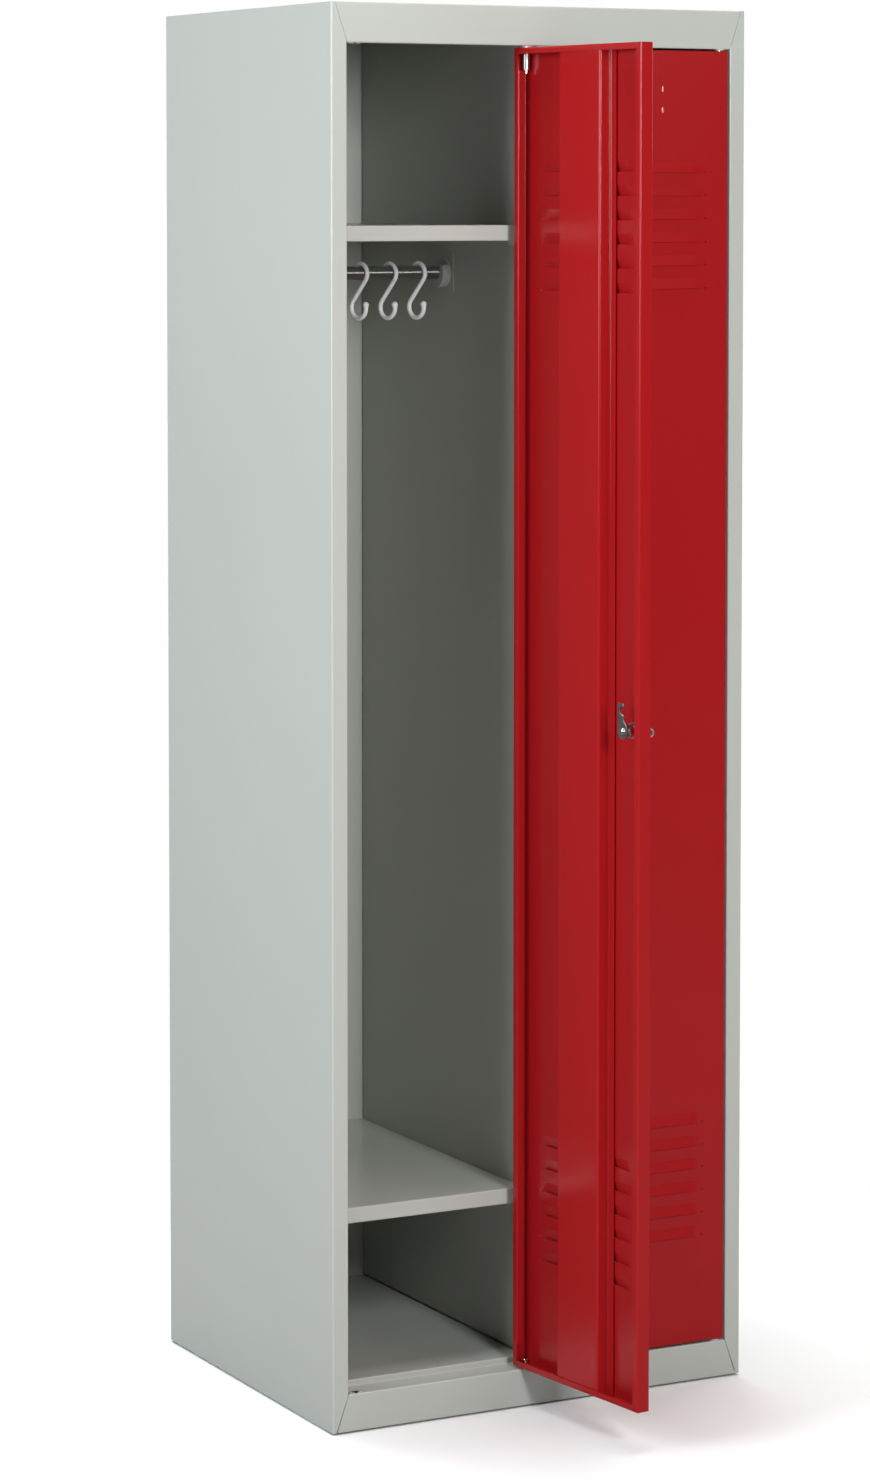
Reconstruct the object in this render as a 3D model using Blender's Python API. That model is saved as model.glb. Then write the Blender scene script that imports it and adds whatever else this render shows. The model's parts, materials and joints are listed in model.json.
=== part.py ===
"""Two-compartment metal clothes locker, in metres, +Z up, the doors facing -Y.

A folded sheet-steel carcass carries two tall doors on pivot pins, both hinged on their right edge.
The left door stands open and the right one is shut. Each compartment has a hat shelf, a hanging
rail with three loose hooks, and a shoe shelf. Each door has a stiffener, two rows of louvres and a
turning padlock hasp. The origin is the middle of the bounding box, at the ground.
"""
import math

import bmesh
import bpy
from mathutils import Matrix, Vector

# Carcass
WIDTH = 0.600
DEPTH = 0.500
HEIGHT = 1.800
SHEET = 0.0008
SEAT = 0.0003
STILE_WIDTH = 0.022
TOP_RAIL_HEIGHT = 0.050
PLINTH_HEIGHT = 0.050
PLINTH_LIFT = 0.002
FLANGE = 0.020
FLANGE_RELIEF = 0.030
MITRE_GAP = 0.0004

# Compartments
PARTITION_WIDTH = 0.016
RECESS = 0.034
FLOOR_STEP = 0.008
HAT_SPACE = 0.227
SHOE_SPACE = 0.221
SHELF_LIP = 0.020
SHELF_RETURN = 0.010
SHELF_SIDE_LIP = 0.014
SHELF_CORNER = 0.004
CLIP_LENGTH = 0.018
CLIP_REACH = 0.012
CLIP_DROP = 0.012
CLIP_SETBACK = 0.012
CLIP_SHEET = 0.0015

# Hanging rail, its sockets and its hooks
RAIL_RADIUS = 0.009
RAIL_WALL = 0.0012
RAIL_DROP = 0.064
PLATE_WIDTH = 0.050
PLATE_HEIGHT = 0.049
PLATE_SHEET = 0.0015
SOCKET_RADIUS = 0.020
SOCKET_BASE = 0.003
SOCKET_SADDLE = 0.009
SOCKET_ARM = 0.010
HOOK_COUNT = 3
HOOK_START = 0.041
HOOK_PITCH = 0.0426
HOOK_THICK = 0.006
HOOK_YAW = math.radians(16)
HOOK_PLAY = 0.0006
HOOK_TIP_ANGLE = math.radians(195)
HOOK_LOWER_RADIUS = 0.014
HOOK_LOWER_DROP = 0.0447
HOOK_LOWER_SHIFT = 0.0032
HOOK_BALL_ANGLE = math.radians(15)
HOOK_BALL_RADIUS = 0.0043

# Doors
OPEN_ANGLE = math.radians(97)
DOOR_GAP = 0.0025
DOOR_INSET = 0.0005
DOOR_DEPTH = 0.019
DOOR_LIP = 0.010
DOOR_END_LIP = 0.008
HINGE_RETURN_GAP = 0.0012
PIVOT_INSET = 0.010
PIVOT_DEPTH = 0.0065
RETURN_MARGIN = 0.0005
LOUVRE_COUNT = 6
LOUVRE_PITCH = 0.030
LOUVRE_HEIGHT = 0.017
LOUVRE_RISE = 0.0032
LOUVRE_MARGIN = 0.035
LOUVRE_TAPER = 0.018
LANCE = 0.0004
UPPER_LOUVRE_DROP = 0.1575
LOWER_LOUVRE_RISE = 0.1425
STIFFENER_OFFSET = 0.005
STIFFENER_FACE = 0.085
STIFFENER_SLOPE = 0.002
STIFFENER_FLANGE = 0.011
STIFFENER_CLEARANCE = 0.0007

# Pivots
PIN_RADIUS = 0.003
PIN_REACH = 0.0075
PIN_STROKE = 0.009
PIN_CHAMFER = 0.001
PIN_PLAY = 0.0003
TAIL_RADIUS = 0.0013
TAIL_SHOWS = 0.005
BARREL_RADIUS = 0.0045
BARREL_LENGTH = 0.027
BARREL_FLOOR = 0.002
SPRING_TURNS = 5
SPRING_WIRE = 0.0004
COLLAR_LENGTH = 0.008
BUSH_WALL = 0.0008
BUSH_FLANGE = 0.006
BUSH_FLANGE_THICK = 0.0010
BUSH_NECK = 0.004

# Turning hasp lock
LOCK_EDGE = 0.030
HOUSING_RADIUS = 0.0078
HOUSING_LENGTH = 0.015
ROSETTE_RADIUS = 0.014
ROSETTE_THICK = 0.0025
NUT_FLATS = 0.0195
NUT_THICK = 0.005
SPINDLE_RADIUS = 0.004
SPINDLE_PLAY = 0.0003
HUB_RADIUS = 0.008
HUB_THICK = 0.004
LUG_REACH = 0.028
LUG_HEIGHT = 0.012
LUG_DROP = 0.0045
LUG_THICK = 0.004
SHACKLE_RADIUS = 0.0036
CAM_THICK = 0.002
CAM_CLEARANCE = 0.0013
CAM_RADIUS = 0.0096
CAM_LENGTH = 0.0347
CAM_SHOULDER = 0.0056
CAM_NECK = 0.0023
CAM_NECK_START = 0.0131
CAM_NOTCH_START = 0.0192
CAM_NOTCH_SLOPE = 0.0033
CAM_NOTCH_END = 0.0304
CAM_SPINE = 0.0047
CAM_BEAK = 0.0029
CAM_BEAK_DROP = 0.0023
CAM_BEAK_BEVEL = 0.0028
SCREW_RADIUS = 0.002
SCREW_HEAD_RADIUS = 0.0050
SCREW_HEAD = 0.0025
SCREW_LENGTH = 0.008
KEEPER_ABOVE = 0.031
KEEPER_BELOW = 0.014
KEEPER_DEPTH = 0.008

# Facets of round pieces
SEGMENTS = 20
ARC_STEP = math.radians(18)
COIL_STEPS = 8
BALL_TURNS = (math.radians(37), math.radians(64))
DOME_TURNS = (0, math.radians(35), math.radians(65))
SMOOTH_ANGLE = math.radians(35)

# Places worked out from the sizes above
FRONT = -DEPTH / 2
BACK = DEPTH / 2
WALL = WIDTH / 2 - SHEET
OPENING = WIDTH / 2 - STILE_WIDTH
OPENING_TOP = HEIGHT - TOP_RAIL_HEIGHT
FRAME_RETURN = DOOR_INSET + DOOR_DEPTH + RETURN_MARGIN
FLOOR = PLINTH_HEIGHT + FLOOR_STEP
SHELF_FRONT = FRONT + RECESS
BACK_SHEET = BACK - SHEET - SEAT
BACK_FACE = BACK_SHEET - SHEET
HAT_SHELF = OPENING_TOP - HAT_SPACE
SHOE_SHELF = FLOOR + SHOE_SPACE
RAIL_HEIGHT = HAT_SHELF - RAIL_DROP
RAIL_DEPTH = (FRONT + BACK) / 2
DOOR_WIDTH = OPENING - PARTITION_WIDTH / 2 - 2 * DOOR_GAP
DOOR_BOTTOM = PLINTH_HEIGHT + DOOR_GAP
DOOR_TOP = OPENING_TOP - DOOR_GAP
DOOR_SKIN = FRONT + DOOR_INSET
HINGE_NOTCH = BARREL_LENGTH + SHEET + 4 * SEAT
LOCK_HEIGHT = (DOOR_BOTTOM + DOOR_TOP) / 2
CAM_PLACE = DOOR_DEPTH + CAM_CLEARANCE
STIFFENER_CENTRE = DOOR_WIDTH / 2 + STIFFENER_OFFSET
LEFT_HINGE_EDGE = -PARTITION_WIDTH / 2 - DOOR_GAP
RIGHT_HINGE_EDGE = OPENING - DOOR_GAP
BUSH_BORE = PIN_RADIUS + PIN_PLAY
BUSH_RADIUS = BUSH_BORE + BUSH_WALL
PIVOT_HOLE = BUSH_RADIUS + SEAT

# Finishes: sRGB colour, roughness, metallic
GREY_COAT = ((200, 204, 200), 0.45, 0.0)
RED_COAT = ((166, 32, 35), 0.40, 0.0)
CHROME = ((205, 206, 208), 0.15, 1.0)
ZINC = ((170, 172, 172), 0.35, 1.0)
WHITE_PLASTIC = ((222, 222, 224), 0.45, 0.0)
GREY_PLASTIC = ((150, 152, 148), 0.50, 0.0)

OUTWARD = Vector((0, -1, 0))
UP = Vector((0, 0, 1))


def linear(colour):
    """Linear RGBA of an sRGB colour given as 0 to 255."""
    shares = [value / 255 for value in colour]
    return [s / 12.92 if s <= 0.04045 else ((s + 0.055) / 1.055) ** 2.4 for s in shares] + [1.0]


def place(name, data, finish, parent, location=(0, 0, 0)):
    """Object of a mesh or curve, under its parent, with a material of its own."""
    colour, roughness, metallic = finish
    surface = bpy.data.materials.new(name)
    surface.use_nodes = True
    shader = surface.node_tree.nodes["Principled BSDF"]
    shader.inputs["Base Color"].default_value = linear(colour)
    shader.inputs["Roughness"].default_value = roughness
    shader.inputs["Metallic"].default_value = metallic
    data.materials.append(surface)
    piece = bpy.data.objects.new(name, data)
    piece.parent = parent
    piece.location = location
    bpy.context.scene.collection.objects.link(piece)
    return piece


def empty(name, parent, location, turn=(0, 0, 0)):
    """Named axis or group that pieces hang on."""
    axis = bpy.data.objects.new(name, None)
    axis.parent = parent
    axis.location = location
    axis.rotation_euler = turn
    bpy.context.scene.collection.objects.link(axis)
    return axis


def mesh_of(name, shape, smooth=False):
    """Mesh data of a finished bmesh, with round faces shaded smooth."""
    data = bpy.data.meshes.new(name)
    shape.to_mesh(data)
    shape.free()
    if smooth:
        data.shade_smooth()
        data.set_sharp_from_angle(angle=SMOOTH_ANGLE)
    return data


def folded_sheet(name, panels, outward, finish, parent, thickness=SHEET):
    """Bent sheet from polygons on its outer faces, which share corners along each fold.

    The first polygon's outer face looks along outward, and the thickness lies behind the faces.
    """
    shape = bmesh.new()
    corners = {}
    for panel in panels:
        loop = []
        for point in panel:
            key = tuple(round(value, 6) for value in point)
            if key not in corners:
                corners[key] = shape.verts.new(point)
            loop.append(corners[key])
        shape.faces.new(loop)
    bmesh.ops.recalc_face_normals(shape, faces=shape.faces)
    shape.faces.ensure_lookup_table()
    if shape.faces[0].normal.dot(outward) < 0:
        bmesh.ops.reverse_faces(shape, faces=shape.faces)
    piece = place(name, mesh_of(name, shape), finish, parent)
    fold = piece.modifiers.new("sheet", "SOLIDIFY")
    fold.solidify_mode = "NON_MANIFOLD"
    fold.nonmanifold_thickness_mode = "CONSTRAINTS"
    fold.nonmanifold_merge_threshold = 0.00001
    fold.thickness = thickness
    fold.offset = -1
    return piece


def prism(outline, across, up, along, start, end):
    """Closed bmesh of a flat outline in the across-up plane, carried from start to end along a line."""
    shape = bmesh.new()
    across, up, along = Vector(across), Vector(up), Vector(along)
    lower = [shape.verts.new(across * a + up * b + along * start) for a, b in outline]
    face = shape.faces.new(lower)
    swept = bmesh.ops.extrude_face_region(shape, geom=[face])
    moved = [item for item in swept["geom"] if isinstance(item, bmesh.types.BMVert)]
    bmesh.ops.translate(shape, verts=moved, vec=along * (end - start))
    bmesh.ops.recalc_face_normals(shape, faces=shape.faces)
    return shape


def turned(profile, along, segments=SEGMENTS):
    """Closed bmesh of a closed (radius, height) profile turned about a line through the origin."""
    shape = bmesh.new()
    ring = [shape.verts.new((radius, 0, height)) for radius, height in profile]
    edges = [shape.edges.new(pair) for pair in zip(ring, ring[1:] + ring[:1])]
    bmesh.ops.spin(shape, geom=ring + edges, cent=(0, 0, 0), axis=(0, 0, 1), angle=math.tau,
                   steps=segments, use_merge=True)
    bmesh.ops.remove_doubles(shape, verts=shape.verts, dist=0.00001)
    bmesh.ops.dissolve_degenerate(shape, edges=shape.edges, dist=0.00001)
    bmesh.ops.recalc_face_normals(shape, faces=shape.faces)
    bmesh.ops.rotate(shape, verts=shape.verts, matrix=UP.rotation_difference(Vector(along)).to_matrix())
    return shape


def arc(centre, radius, start, end):
    """Points along a circle's arc between two angles, both ends included."""
    steps = max(2, math.ceil(abs(end - start) / ARC_STEP))
    angles = [start + (end - start) * step / steps for step in range(steps + 1)]
    return [(centre[0] + radius * math.cos(a), centre[1] + radius * math.sin(a)) for a in angles]


def combine(piece, name, shape, operation):
    """Boolean of a piece with a hidden shape in the piece's own frame."""
    cutter = bpy.data.objects.new(name, mesh_of(name, shape))
    cutter.parent = piece.parent
    cutter.location = piece.location
    cutter.hide_render = True
    cutter.display_type = "WIRE"
    bpy.context.scene.collection.objects.link(cutter)
    step = piece.modifiers.new(name, "BOOLEAN")
    step.operation = operation
    step.object = cutter


def round_cutter(centres, radius, along, reach):
    """Cylinders of one radius through several centres, each reaching both ways along a line."""
    shape = bmesh.new()
    turn = UP.rotation_difference(Vector(along)).to_matrix().to_4x4()
    for centre in centres:
        bmesh.ops.create_cone(shape, cap_ends=True, segments=SEGMENTS, radius1=radius, radius2=radius,
                              depth=2 * reach, matrix=Matrix.Translation(centre) @ turn)
    return shape


def box_cutter(low, high):
    """Box between two corners."""
    outline = [(low[0], low[1]), (high[0], low[1]), (high[0], high[1]), (low[0], high[1])]
    return prism(outline, (1, 0, 0), (0, 1, 0), UP, low[2], high[2])


def tube(name, points, radius, sides, finish, parent, location, swell=None):
    """Round bar along a chain of points, with a share of the radius at each point."""
    data = bpy.data.curves.new(name, "CURVE")
    data.dimensions = "3D"
    data.bevel_depth = radius
    data.bevel_resolution = sides
    data.use_fill_caps = True
    spline = data.splines.new("POLY")
    spline.points.add(len(points) - 1)
    for index, (knot, point) in enumerate(zip(spline.points, points)):
        knot.co = (*point, 1)
        knot.radius = swell[index] if swell else 1
    return place(name, data, finish, parent, location)


def pivot_centres(height):
    """Pivot holes of a frame ledge: a used and a spare one for each door, which can be hung either way."""
    used_and_spare = []
    for hinge_edge in (LEFT_HINGE_EDGE, RIGHT_HINGE_EDGE):
        used_and_spare.append((hinge_edge - PIVOT_INSET, DOOR_SKIN + PIVOT_DEPTH, height))
        spare = hinge_edge - DOOR_WIDTH + PIVOT_INSET
        used_and_spare.append((spare, DOOR_SKIN + PIVOT_DEPTH, height))
    return used_and_spare


def side_panel(name, side, parent):
    """Side wall with its front stile and return, rear flange and bottom flange; side is -1 or 1."""
    outer = side * WIDTH / 2
    inner = side * OPENING
    flange = side * (WIDTH / 2 - FLANGE)
    foot = PLINTH_HEIGHT + SEAT
    low_front = FRONT + FLANGE
    low_back = BACK - FLANGE
    wall = [(outer, FRONT, 0), (outer, low_front, 0), (outer, low_back, 0), (outer, BACK, 0),
            (outer, BACK, HEIGHT), (outer, FRONT, HEIGHT)]
    stile = [(outer, FRONT, 0), (outer, FRONT, HEIGHT), (side * WALL, FRONT, HEIGHT),
             (inner, FRONT, OPENING_TOP), (inner, FRONT, foot), (side * WALL, FRONT, 0)]
    frame_return = [(inner, FRONT, foot), (inner, FRONT, OPENING_TOP),
                    (inner, FRONT + FRAME_RETURN, OPENING_TOP), (inner, FRONT + FRAME_RETURN, foot)]
    rear = [(outer, BACK, 0), (outer, BACK, HEIGHT), (flange, BACK, HEIGHT - FLANGE_RELIEF),
            (flange, BACK, FLANGE_RELIEF)]
    bottom = [(outer, low_front, 0), (flange, low_front, 0), (flange, low_back, 0), (outer, low_back, 0)]
    folded_sheet(name, [wall, stile, frame_return, rear, bottom], Vector((side, 0, 0)), GREY_COAT, parent)


def top_panel(parent):
    """Top plate with its mitred front rail, the pivot ledge behind it and a rear flange."""
    wide = WALL - MITRE_GAP
    narrow = OPENING - MITRE_GAP
    rear = WIDTH / 2 - FLANGE - SEAT
    drop = HEIGHT - FLANGE
    ledge = FRONT + FRAME_RETURN
    plate = [(-wide, FRONT, HEIGHT), (wide, FRONT, HEIGHT), (wide, BACK, HEIGHT), (rear, BACK, HEIGHT),
             (-rear, BACK, HEIGHT), (-wide, BACK, HEIGHT)]
    rail = [(-wide, FRONT, HEIGHT), (-narrow, FRONT, OPENING_TOP), (narrow, FRONT, OPENING_TOP),
            (wide, FRONT, HEIGHT)]
    under = [(-narrow, FRONT, OPENING_TOP), (-narrow, ledge, OPENING_TOP), (narrow, ledge, OPENING_TOP),
             (narrow, FRONT, OPENING_TOP)]
    flange = [(-rear, BACK, HEIGHT), (rear, BACK, HEIGHT), (rear, BACK, drop), (-rear, BACK, drop)]
    piece = folded_sheet("top_panel", [plate, rail, under, flange], UP, GREY_COAT, parent)
    holes = round_cutter(pivot_centres(OPENING_TOP), PIVOT_HOLE, UP, PIN_REACH)
    combine(piece, "top_pivot_holes", holes, "DIFFERENCE")


def base_panel(parent):
    """Mitred plinth with its bottom return, the pivot ledge, and the floor stepped up behind it."""
    wide = WALL - SEAT
    narrow = OPENING - MITRE_GAP
    low = WALL - MITRE_GAP - (WALL - OPENING) * PLINTH_LIFT / PLINTH_HEIGHT
    behind = FRONT + SHEET + 2 * SEAT
    back = BACK_FACE - SEAT
    toe = FRONT + FLANGE - SHEET
    plinth = [(-narrow, FRONT, PLINTH_HEIGHT), (-low, FRONT, PLINTH_LIFT), (low, FRONT, PLINTH_LIFT),
              (narrow, FRONT, PLINTH_HEIGHT)]
    bottom = [(-low, FRONT, PLINTH_LIFT), (-low, toe, PLINTH_LIFT), (low, toe, PLINTH_LIFT),
              (low, FRONT, PLINTH_LIFT)]
    ledge = [(-narrow, FRONT, PLINTH_HEIGHT), (narrow, FRONT, PLINTH_HEIGHT),
             (narrow, behind, PLINTH_HEIGHT), (wide, behind, PLINTH_HEIGHT),
             (wide, SHELF_FRONT, PLINTH_HEIGHT), (-wide, SHELF_FRONT, PLINTH_HEIGHT),
             (-wide, behind, PLINTH_HEIGHT), (-narrow, behind, PLINTH_HEIGHT)]
    riser = [(-wide, SHELF_FRONT, PLINTH_HEIGHT), (wide, SHELF_FRONT, PLINTH_HEIGHT),
             (wide, SHELF_FRONT, FLOOR), (-wide, SHELF_FRONT, FLOOR)]
    floor = [(-wide, SHELF_FRONT, FLOOR), (wide, SHELF_FRONT, FLOOR), (wide, back, FLOOR),
             (-wide, back, FLOOR)]
    piece = folded_sheet("base_panel", [plinth, bottom, ledge, riser, floor], OUTWARD, GREY_COAT, parent)
    holes = round_cutter(pivot_centres(PLINTH_HEIGHT), PIVOT_HOLE, UP, PIN_REACH)
    combine(piece, "base_pivot_holes", holes, "DIFFERENCE")


def back_panel(parent):
    """Flat back sheet, held in front of the rear flanges."""
    wide = WALL - SEAT
    high = HEIGHT - SHEET - SEAT
    sheet = [(-wide, BACK_SHEET, PLINTH_LIFT), (wide, BACK_SHEET, PLINTH_LIFT), (wide, BACK_SHEET, high),
             (-wide, BACK_SHEET, high)]
    folded_sheet("back_panel", [sheet], Vector((0, 1, 0)), GREY_COAT, parent)


def centre_partition(parent):
    """Double-walled partition with its front fold as mullion; the right wall has the lock's keeper slot."""
    half = PARTITION_WIDTH / 2
    foot = PLINTH_HEIGHT + SEAT
    head = OPENING_TOP - SEAT
    step = SHELF_FRONT - SEAT
    ledge = FRONT + FRAME_RETURN + SEAT
    back = BACK_FACE - SEAT
    high = HEIGHT - SHEET - SEAT
    outline = [(FRONT, foot), (step, foot), (step, FLOOR + SEAT), (back, FLOOR + SEAT), (back, high),
               (ledge, high), (ledge, head), (FRONT, head)]
    mullion = [(-half, FRONT, foot), (half, FRONT, foot), (half, FRONT, head), (-half, FRONT, head)]
    left_wall = [(-half, y, z) for y, z in outline]
    right_wall = [(half, y, z) for y, z in outline]
    piece = folded_sheet("centre_partition", [mullion, left_wall, right_wall], OUTWARD, GREY_COAT, parent)
    middle = DOOR_SKIN + CAM_PLACE + CAM_THICK / 2
    slot = box_cutter((half - 2 * SHEET, middle - KEEPER_DEPTH / 2, LOCK_HEIGHT - KEEPER_BELOW),
                      (half + 2 * SHEET, middle + KEEPER_DEPTH / 2, LOCK_HEIGHT + KEEPER_ABOVE))
    combine(piece, "keeper_slot", slot, "DIFFERENCE")


def shelf(name, side, top, parent):
    """Tray-folded shelf between the partition and a side wall."""
    near = side * (PARTITION_WIDTH / 2 + SEAT)
    far = side * (WALL - SEAT)
    back = BACK_FACE - SEAT
    lip = top - SHELF_LIP
    hem = SHELF_FRONT + SHELF_RETURN
    low = top - SHELF_SIDE_LIP
    first = SHELF_FRONT + SHELF_CORNER
    last = back - SHELF_CORNER
    inset = side * SHELF_CORNER
    plate = [(near, SHELF_FRONT, top), (far, SHELF_FRONT, top), (far, first, top), (far, last, top),
             (far, back, top), (far - inset, back, top), (near + inset, back, top), (near, back, top),
             (near, last, top), (near, first, top)]
    front = [(near, SHELF_FRONT, top), (far, SHELF_FRONT, top), (far, SHELF_FRONT, lip),
             (near, SHELF_FRONT, lip)]
    under = [(near, SHELF_FRONT, lip), (far, SHELF_FRONT, lip), (far - inset, hem, lip),
             (near + inset, hem, lip)]
    ends = [[(x, first, top), (x, last, top), (x, last, low), (x, first, low)] for x in (near, far)]
    rear = [(near + inset, back, top), (far - inset, back, top), (far - inset, back, low),
            (near + inset, back, low)]
    folded_sheet(name, [plate, front, under, *ends, rear], UP, GREY_COAT, parent)


def shelf_clip(name, face, inward, top, parent):
    """Angle clip on a wall face, under a shelf's side lip; inward is the way from the wall."""
    seat = top - SHELF_SIDE_LIP - SEAT
    wall = face + inward * SEAT
    reach = face + inward * CLIP_REACH
    start = SHELF_FRONT + SHELF_RETURN + CLIP_SETBACK
    end = start + CLIP_LENGTH
    arm = [(wall, start, seat), (reach, start, seat), (reach, end, seat), (wall, end, seat)]
    leg = [(wall, start, seat), (wall, end, seat), (wall, end, seat - CLIP_DROP),
           (wall, start, seat - CLIP_DROP)]
    folded_sheet(name, [arm, leg], UP, GREY_COAT, parent, CLIP_SHEET)


def rail_holder(prefix, ending, face, inward, parent):
    """Wall plate and open-topped plastic socket for one end of a rail."""
    plate_outline = [(-PLATE_WIDTH / 2, -PLATE_HEIGHT / 2), (PLATE_WIDTH / 2, -PLATE_HEIGHT / 2),
                     (PLATE_WIDTH / 2, PLATE_HEIGHT / 2), (-PLATE_WIDTH / 2, PLATE_HEIGHT / 2)]
    centre = (face, RAIL_DEPTH, RAIL_HEIGHT)
    across, along = (0, 1, 0), (inward, 0, 0)
    plate = prism(plate_outline, across, UP, along, SEAT, PLATE_SHEET)
    name = f"{prefix}_rail_plate_{ending}"
    place(name, mesh_of(name, plate), GREY_COAT, parent, centre)
    base = PLATE_SHEET + SEAT
    disc = prism(arc((0, 0), SOCKET_RADIUS, 0, math.tau)[:-1], across, UP, along, base, base + SOCKET_BASE)
    slot = RAIL_RADIUS + SEAT
    rise = math.asin(SOCKET_ARM / SOCKET_RADIUS)
    cup = arc((0, 0), SOCKET_RADIUS, math.pi - rise, math.tau + rise)
    cup += [(slot, SOCKET_ARM), *arc((0, 0), slot, math.tau, math.pi), (-slot, SOCKET_ARM)]
    saddle = prism(cup, across, UP, along, base + SOCKET_BASE / 2, base + SOCKET_BASE + SOCKET_SADDLE)
    name = f"{prefix}_rail_socket_{ending}"
    socket = place(name, mesh_of(name, disc, True), GREY_PLASTIC, parent, centre)
    combine(socket, f"{name}_saddle", saddle, "UNION")


def rail(prefix, side, parent):
    """Chrome tube across a compartment, resting in its two sockets."""
    seat = PLATE_SHEET + SOCKET_BASE + 2 * SEAT
    near = PARTITION_WIDTH / 2 + seat
    length = WALL - seat - near
    bore = RAIL_RADIUS - RAIL_WALL
    profile = [(bore, 0), (bore, length), (RAIL_RADIUS, length), (RAIL_RADIUS, 0)]
    start = near if side > 0 else -near - length
    name = f"{prefix}_rail"
    place(name, mesh_of(name, turned(profile, (1, 0, 0)), True), CHROME, parent,
          (start, RAIL_DEPTH, RAIL_HEIGHT))
    rail_holder(prefix, "inner", side * PARTITION_WIDTH / 2, side, parent)
    rail_holder(prefix, "outer", side * WALL, -side, parent)


def hook_path():
    """Centre line of an S-hook on the rail, as (forward, up) from the rail's axis, with swell shares."""
    half = HOOK_THICK / 2
    upper = RAIL_RADIUS / math.cos(HOOK_YAW) + half + HOOK_PLAY
    first = (0, RAIL_RADIUS + SEAT + half - upper)
    second = (-HOOK_LOWER_SHIFT, first[1] - HOOK_LOWER_DROP)
    apart = math.dist(first, second)
    heading = math.atan2(second[1] - first[1], second[0] - first[0])
    cross = math.acos((upper + HOOK_LOWER_RADIUS) / apart)
    leave = heading + cross
    tip = leave + math.pi
    path = arc(first, upper, HOOK_TIP_ANGLE, leave)
    path += arc(second, HOOK_LOWER_RADIUS, tip - math.tau, HOOK_BALL_ANGLE)
    swell = [1.0] * len(path)
    rise = Vector((-math.sin(HOOK_BALL_ANGLE), math.cos(HOOK_BALL_ANGLE)))
    end = Vector(path[-1])
    swell[-1] = HOOK_BALL_RADIUS / half
    for turn in BALL_TURNS:
        path.append(tuple(end + rise * HOOK_BALL_RADIUS * math.sin(turn)))
        swell.append(math.cos(turn) * HOOK_BALL_RADIUS / half)
    return path, swell


def hooks(prefix, side, parent):
    """Loose plastic S-hooks that swing on the rail."""
    path, swell = hook_path()
    forward = Vector((math.sin(HOOK_YAW), -math.cos(HOOK_YAW), 0))
    points = [forward * a + UP * b for a, b in path]
    for index in range(HOOK_COUNT):
        across = PARTITION_WIDTH / 2 + HOOK_START + index * HOOK_PITCH
        tube(f"{prefix}_hook_{index + 1}", points, HOOK_THICK / 2, 2, WHITE_PLASTIC, parent,
             (side * across, RAIL_DEPTH, RAIL_HEIGHT), swell)


def bush(name, hinge_edge, height, up, parent):
    """Flanged pivot bush in a frame ledge; up is the way from the ledge to the flange."""
    profile = [(BUSH_BORE, SEAT + BUSH_FLANGE_THICK), (BUSH_FLANGE, SEAT + BUSH_FLANGE_THICK),
               (BUSH_FLANGE, SEAT), (BUSH_RADIUS, SEAT), (BUSH_RADIUS, -BUSH_NECK), (BUSH_BORE, -BUSH_NECK)]
    place(name, mesh_of(name, turned(profile, (0, 0, up)), True), WHITE_PLASTIC, parent,
          (hinge_edge - PIVOT_INSET, DOOR_SKIN + PIVOT_DEPTH, height))


def door_point(across, deep, height):
    """Point of a door in its pivot's frame, from its hinge edge, its outer skin and the ground."""
    return (PIVOT_INSET - across, deep - PIVOT_DEPTH, height)


def louvre_slits():
    """Heights of the louvres' slits, from the lowest."""
    lower = [DOOR_BOTTOM + LOWER_LOUVRE_RISE + k * LOUVRE_PITCH for k in range(LOUVRE_COUNT)]
    upper = [DOOR_TOP - UPPER_LOUVRE_DROP - k * LOUVRE_PITCH for k in range(LOUVRE_COUNT)]
    return sorted(lower + upper)


def door_skin():
    """Skin polygons by rows; each louvre is lanced along its slit and pushed out as a hood above it."""
    first, last = LOUVRE_MARGIN, DOOR_WIDTH - LOUVRE_MARGIN
    columns = [0, first, first + LOUVRE_TAPER, last - LOUVRE_TAPER, last, DOOR_WIDTH]
    slits = louvre_slits()
    rows = {DOOR_BOTTOM, DOOR_BOTTOM + HINGE_NOTCH, DOOR_TOP - HINGE_NOTCH, DOOR_TOP}
    rows = sorted(rows | set(slits) | {slit + LOUVRE_HEIGHT for slit in slits})
    panels = []
    for low, high in zip(rows, rows[1:]):
        hood = low in slits
        for index, (left, right) in enumerate(zip(columns, columns[1:])):
            flat = [door_point(left, 0, low), door_point(right, 0, low), door_point(right, 0, high),
                    door_point(left, 0, high)]
            raised_left = door_point(left, -LOUVRE_RISE, low + LANCE)
            raised_right = door_point(right, -LOUVRE_RISE, low + LANCE)
            if hood and index == 1:
                panels += [[flat[0], raised_right, flat[2]], [flat[0], flat[2], flat[3]]]
            elif hood and index == 2:
                panels.append([raised_left, raised_right, flat[2], flat[3]])
            elif hood and index == 3:
                panels += [[raised_left, flat[1], flat[3]], [flat[1], flat[2], flat[3]]]
            else:
                panels.append(flat)
    return panels, columns, rows


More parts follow.
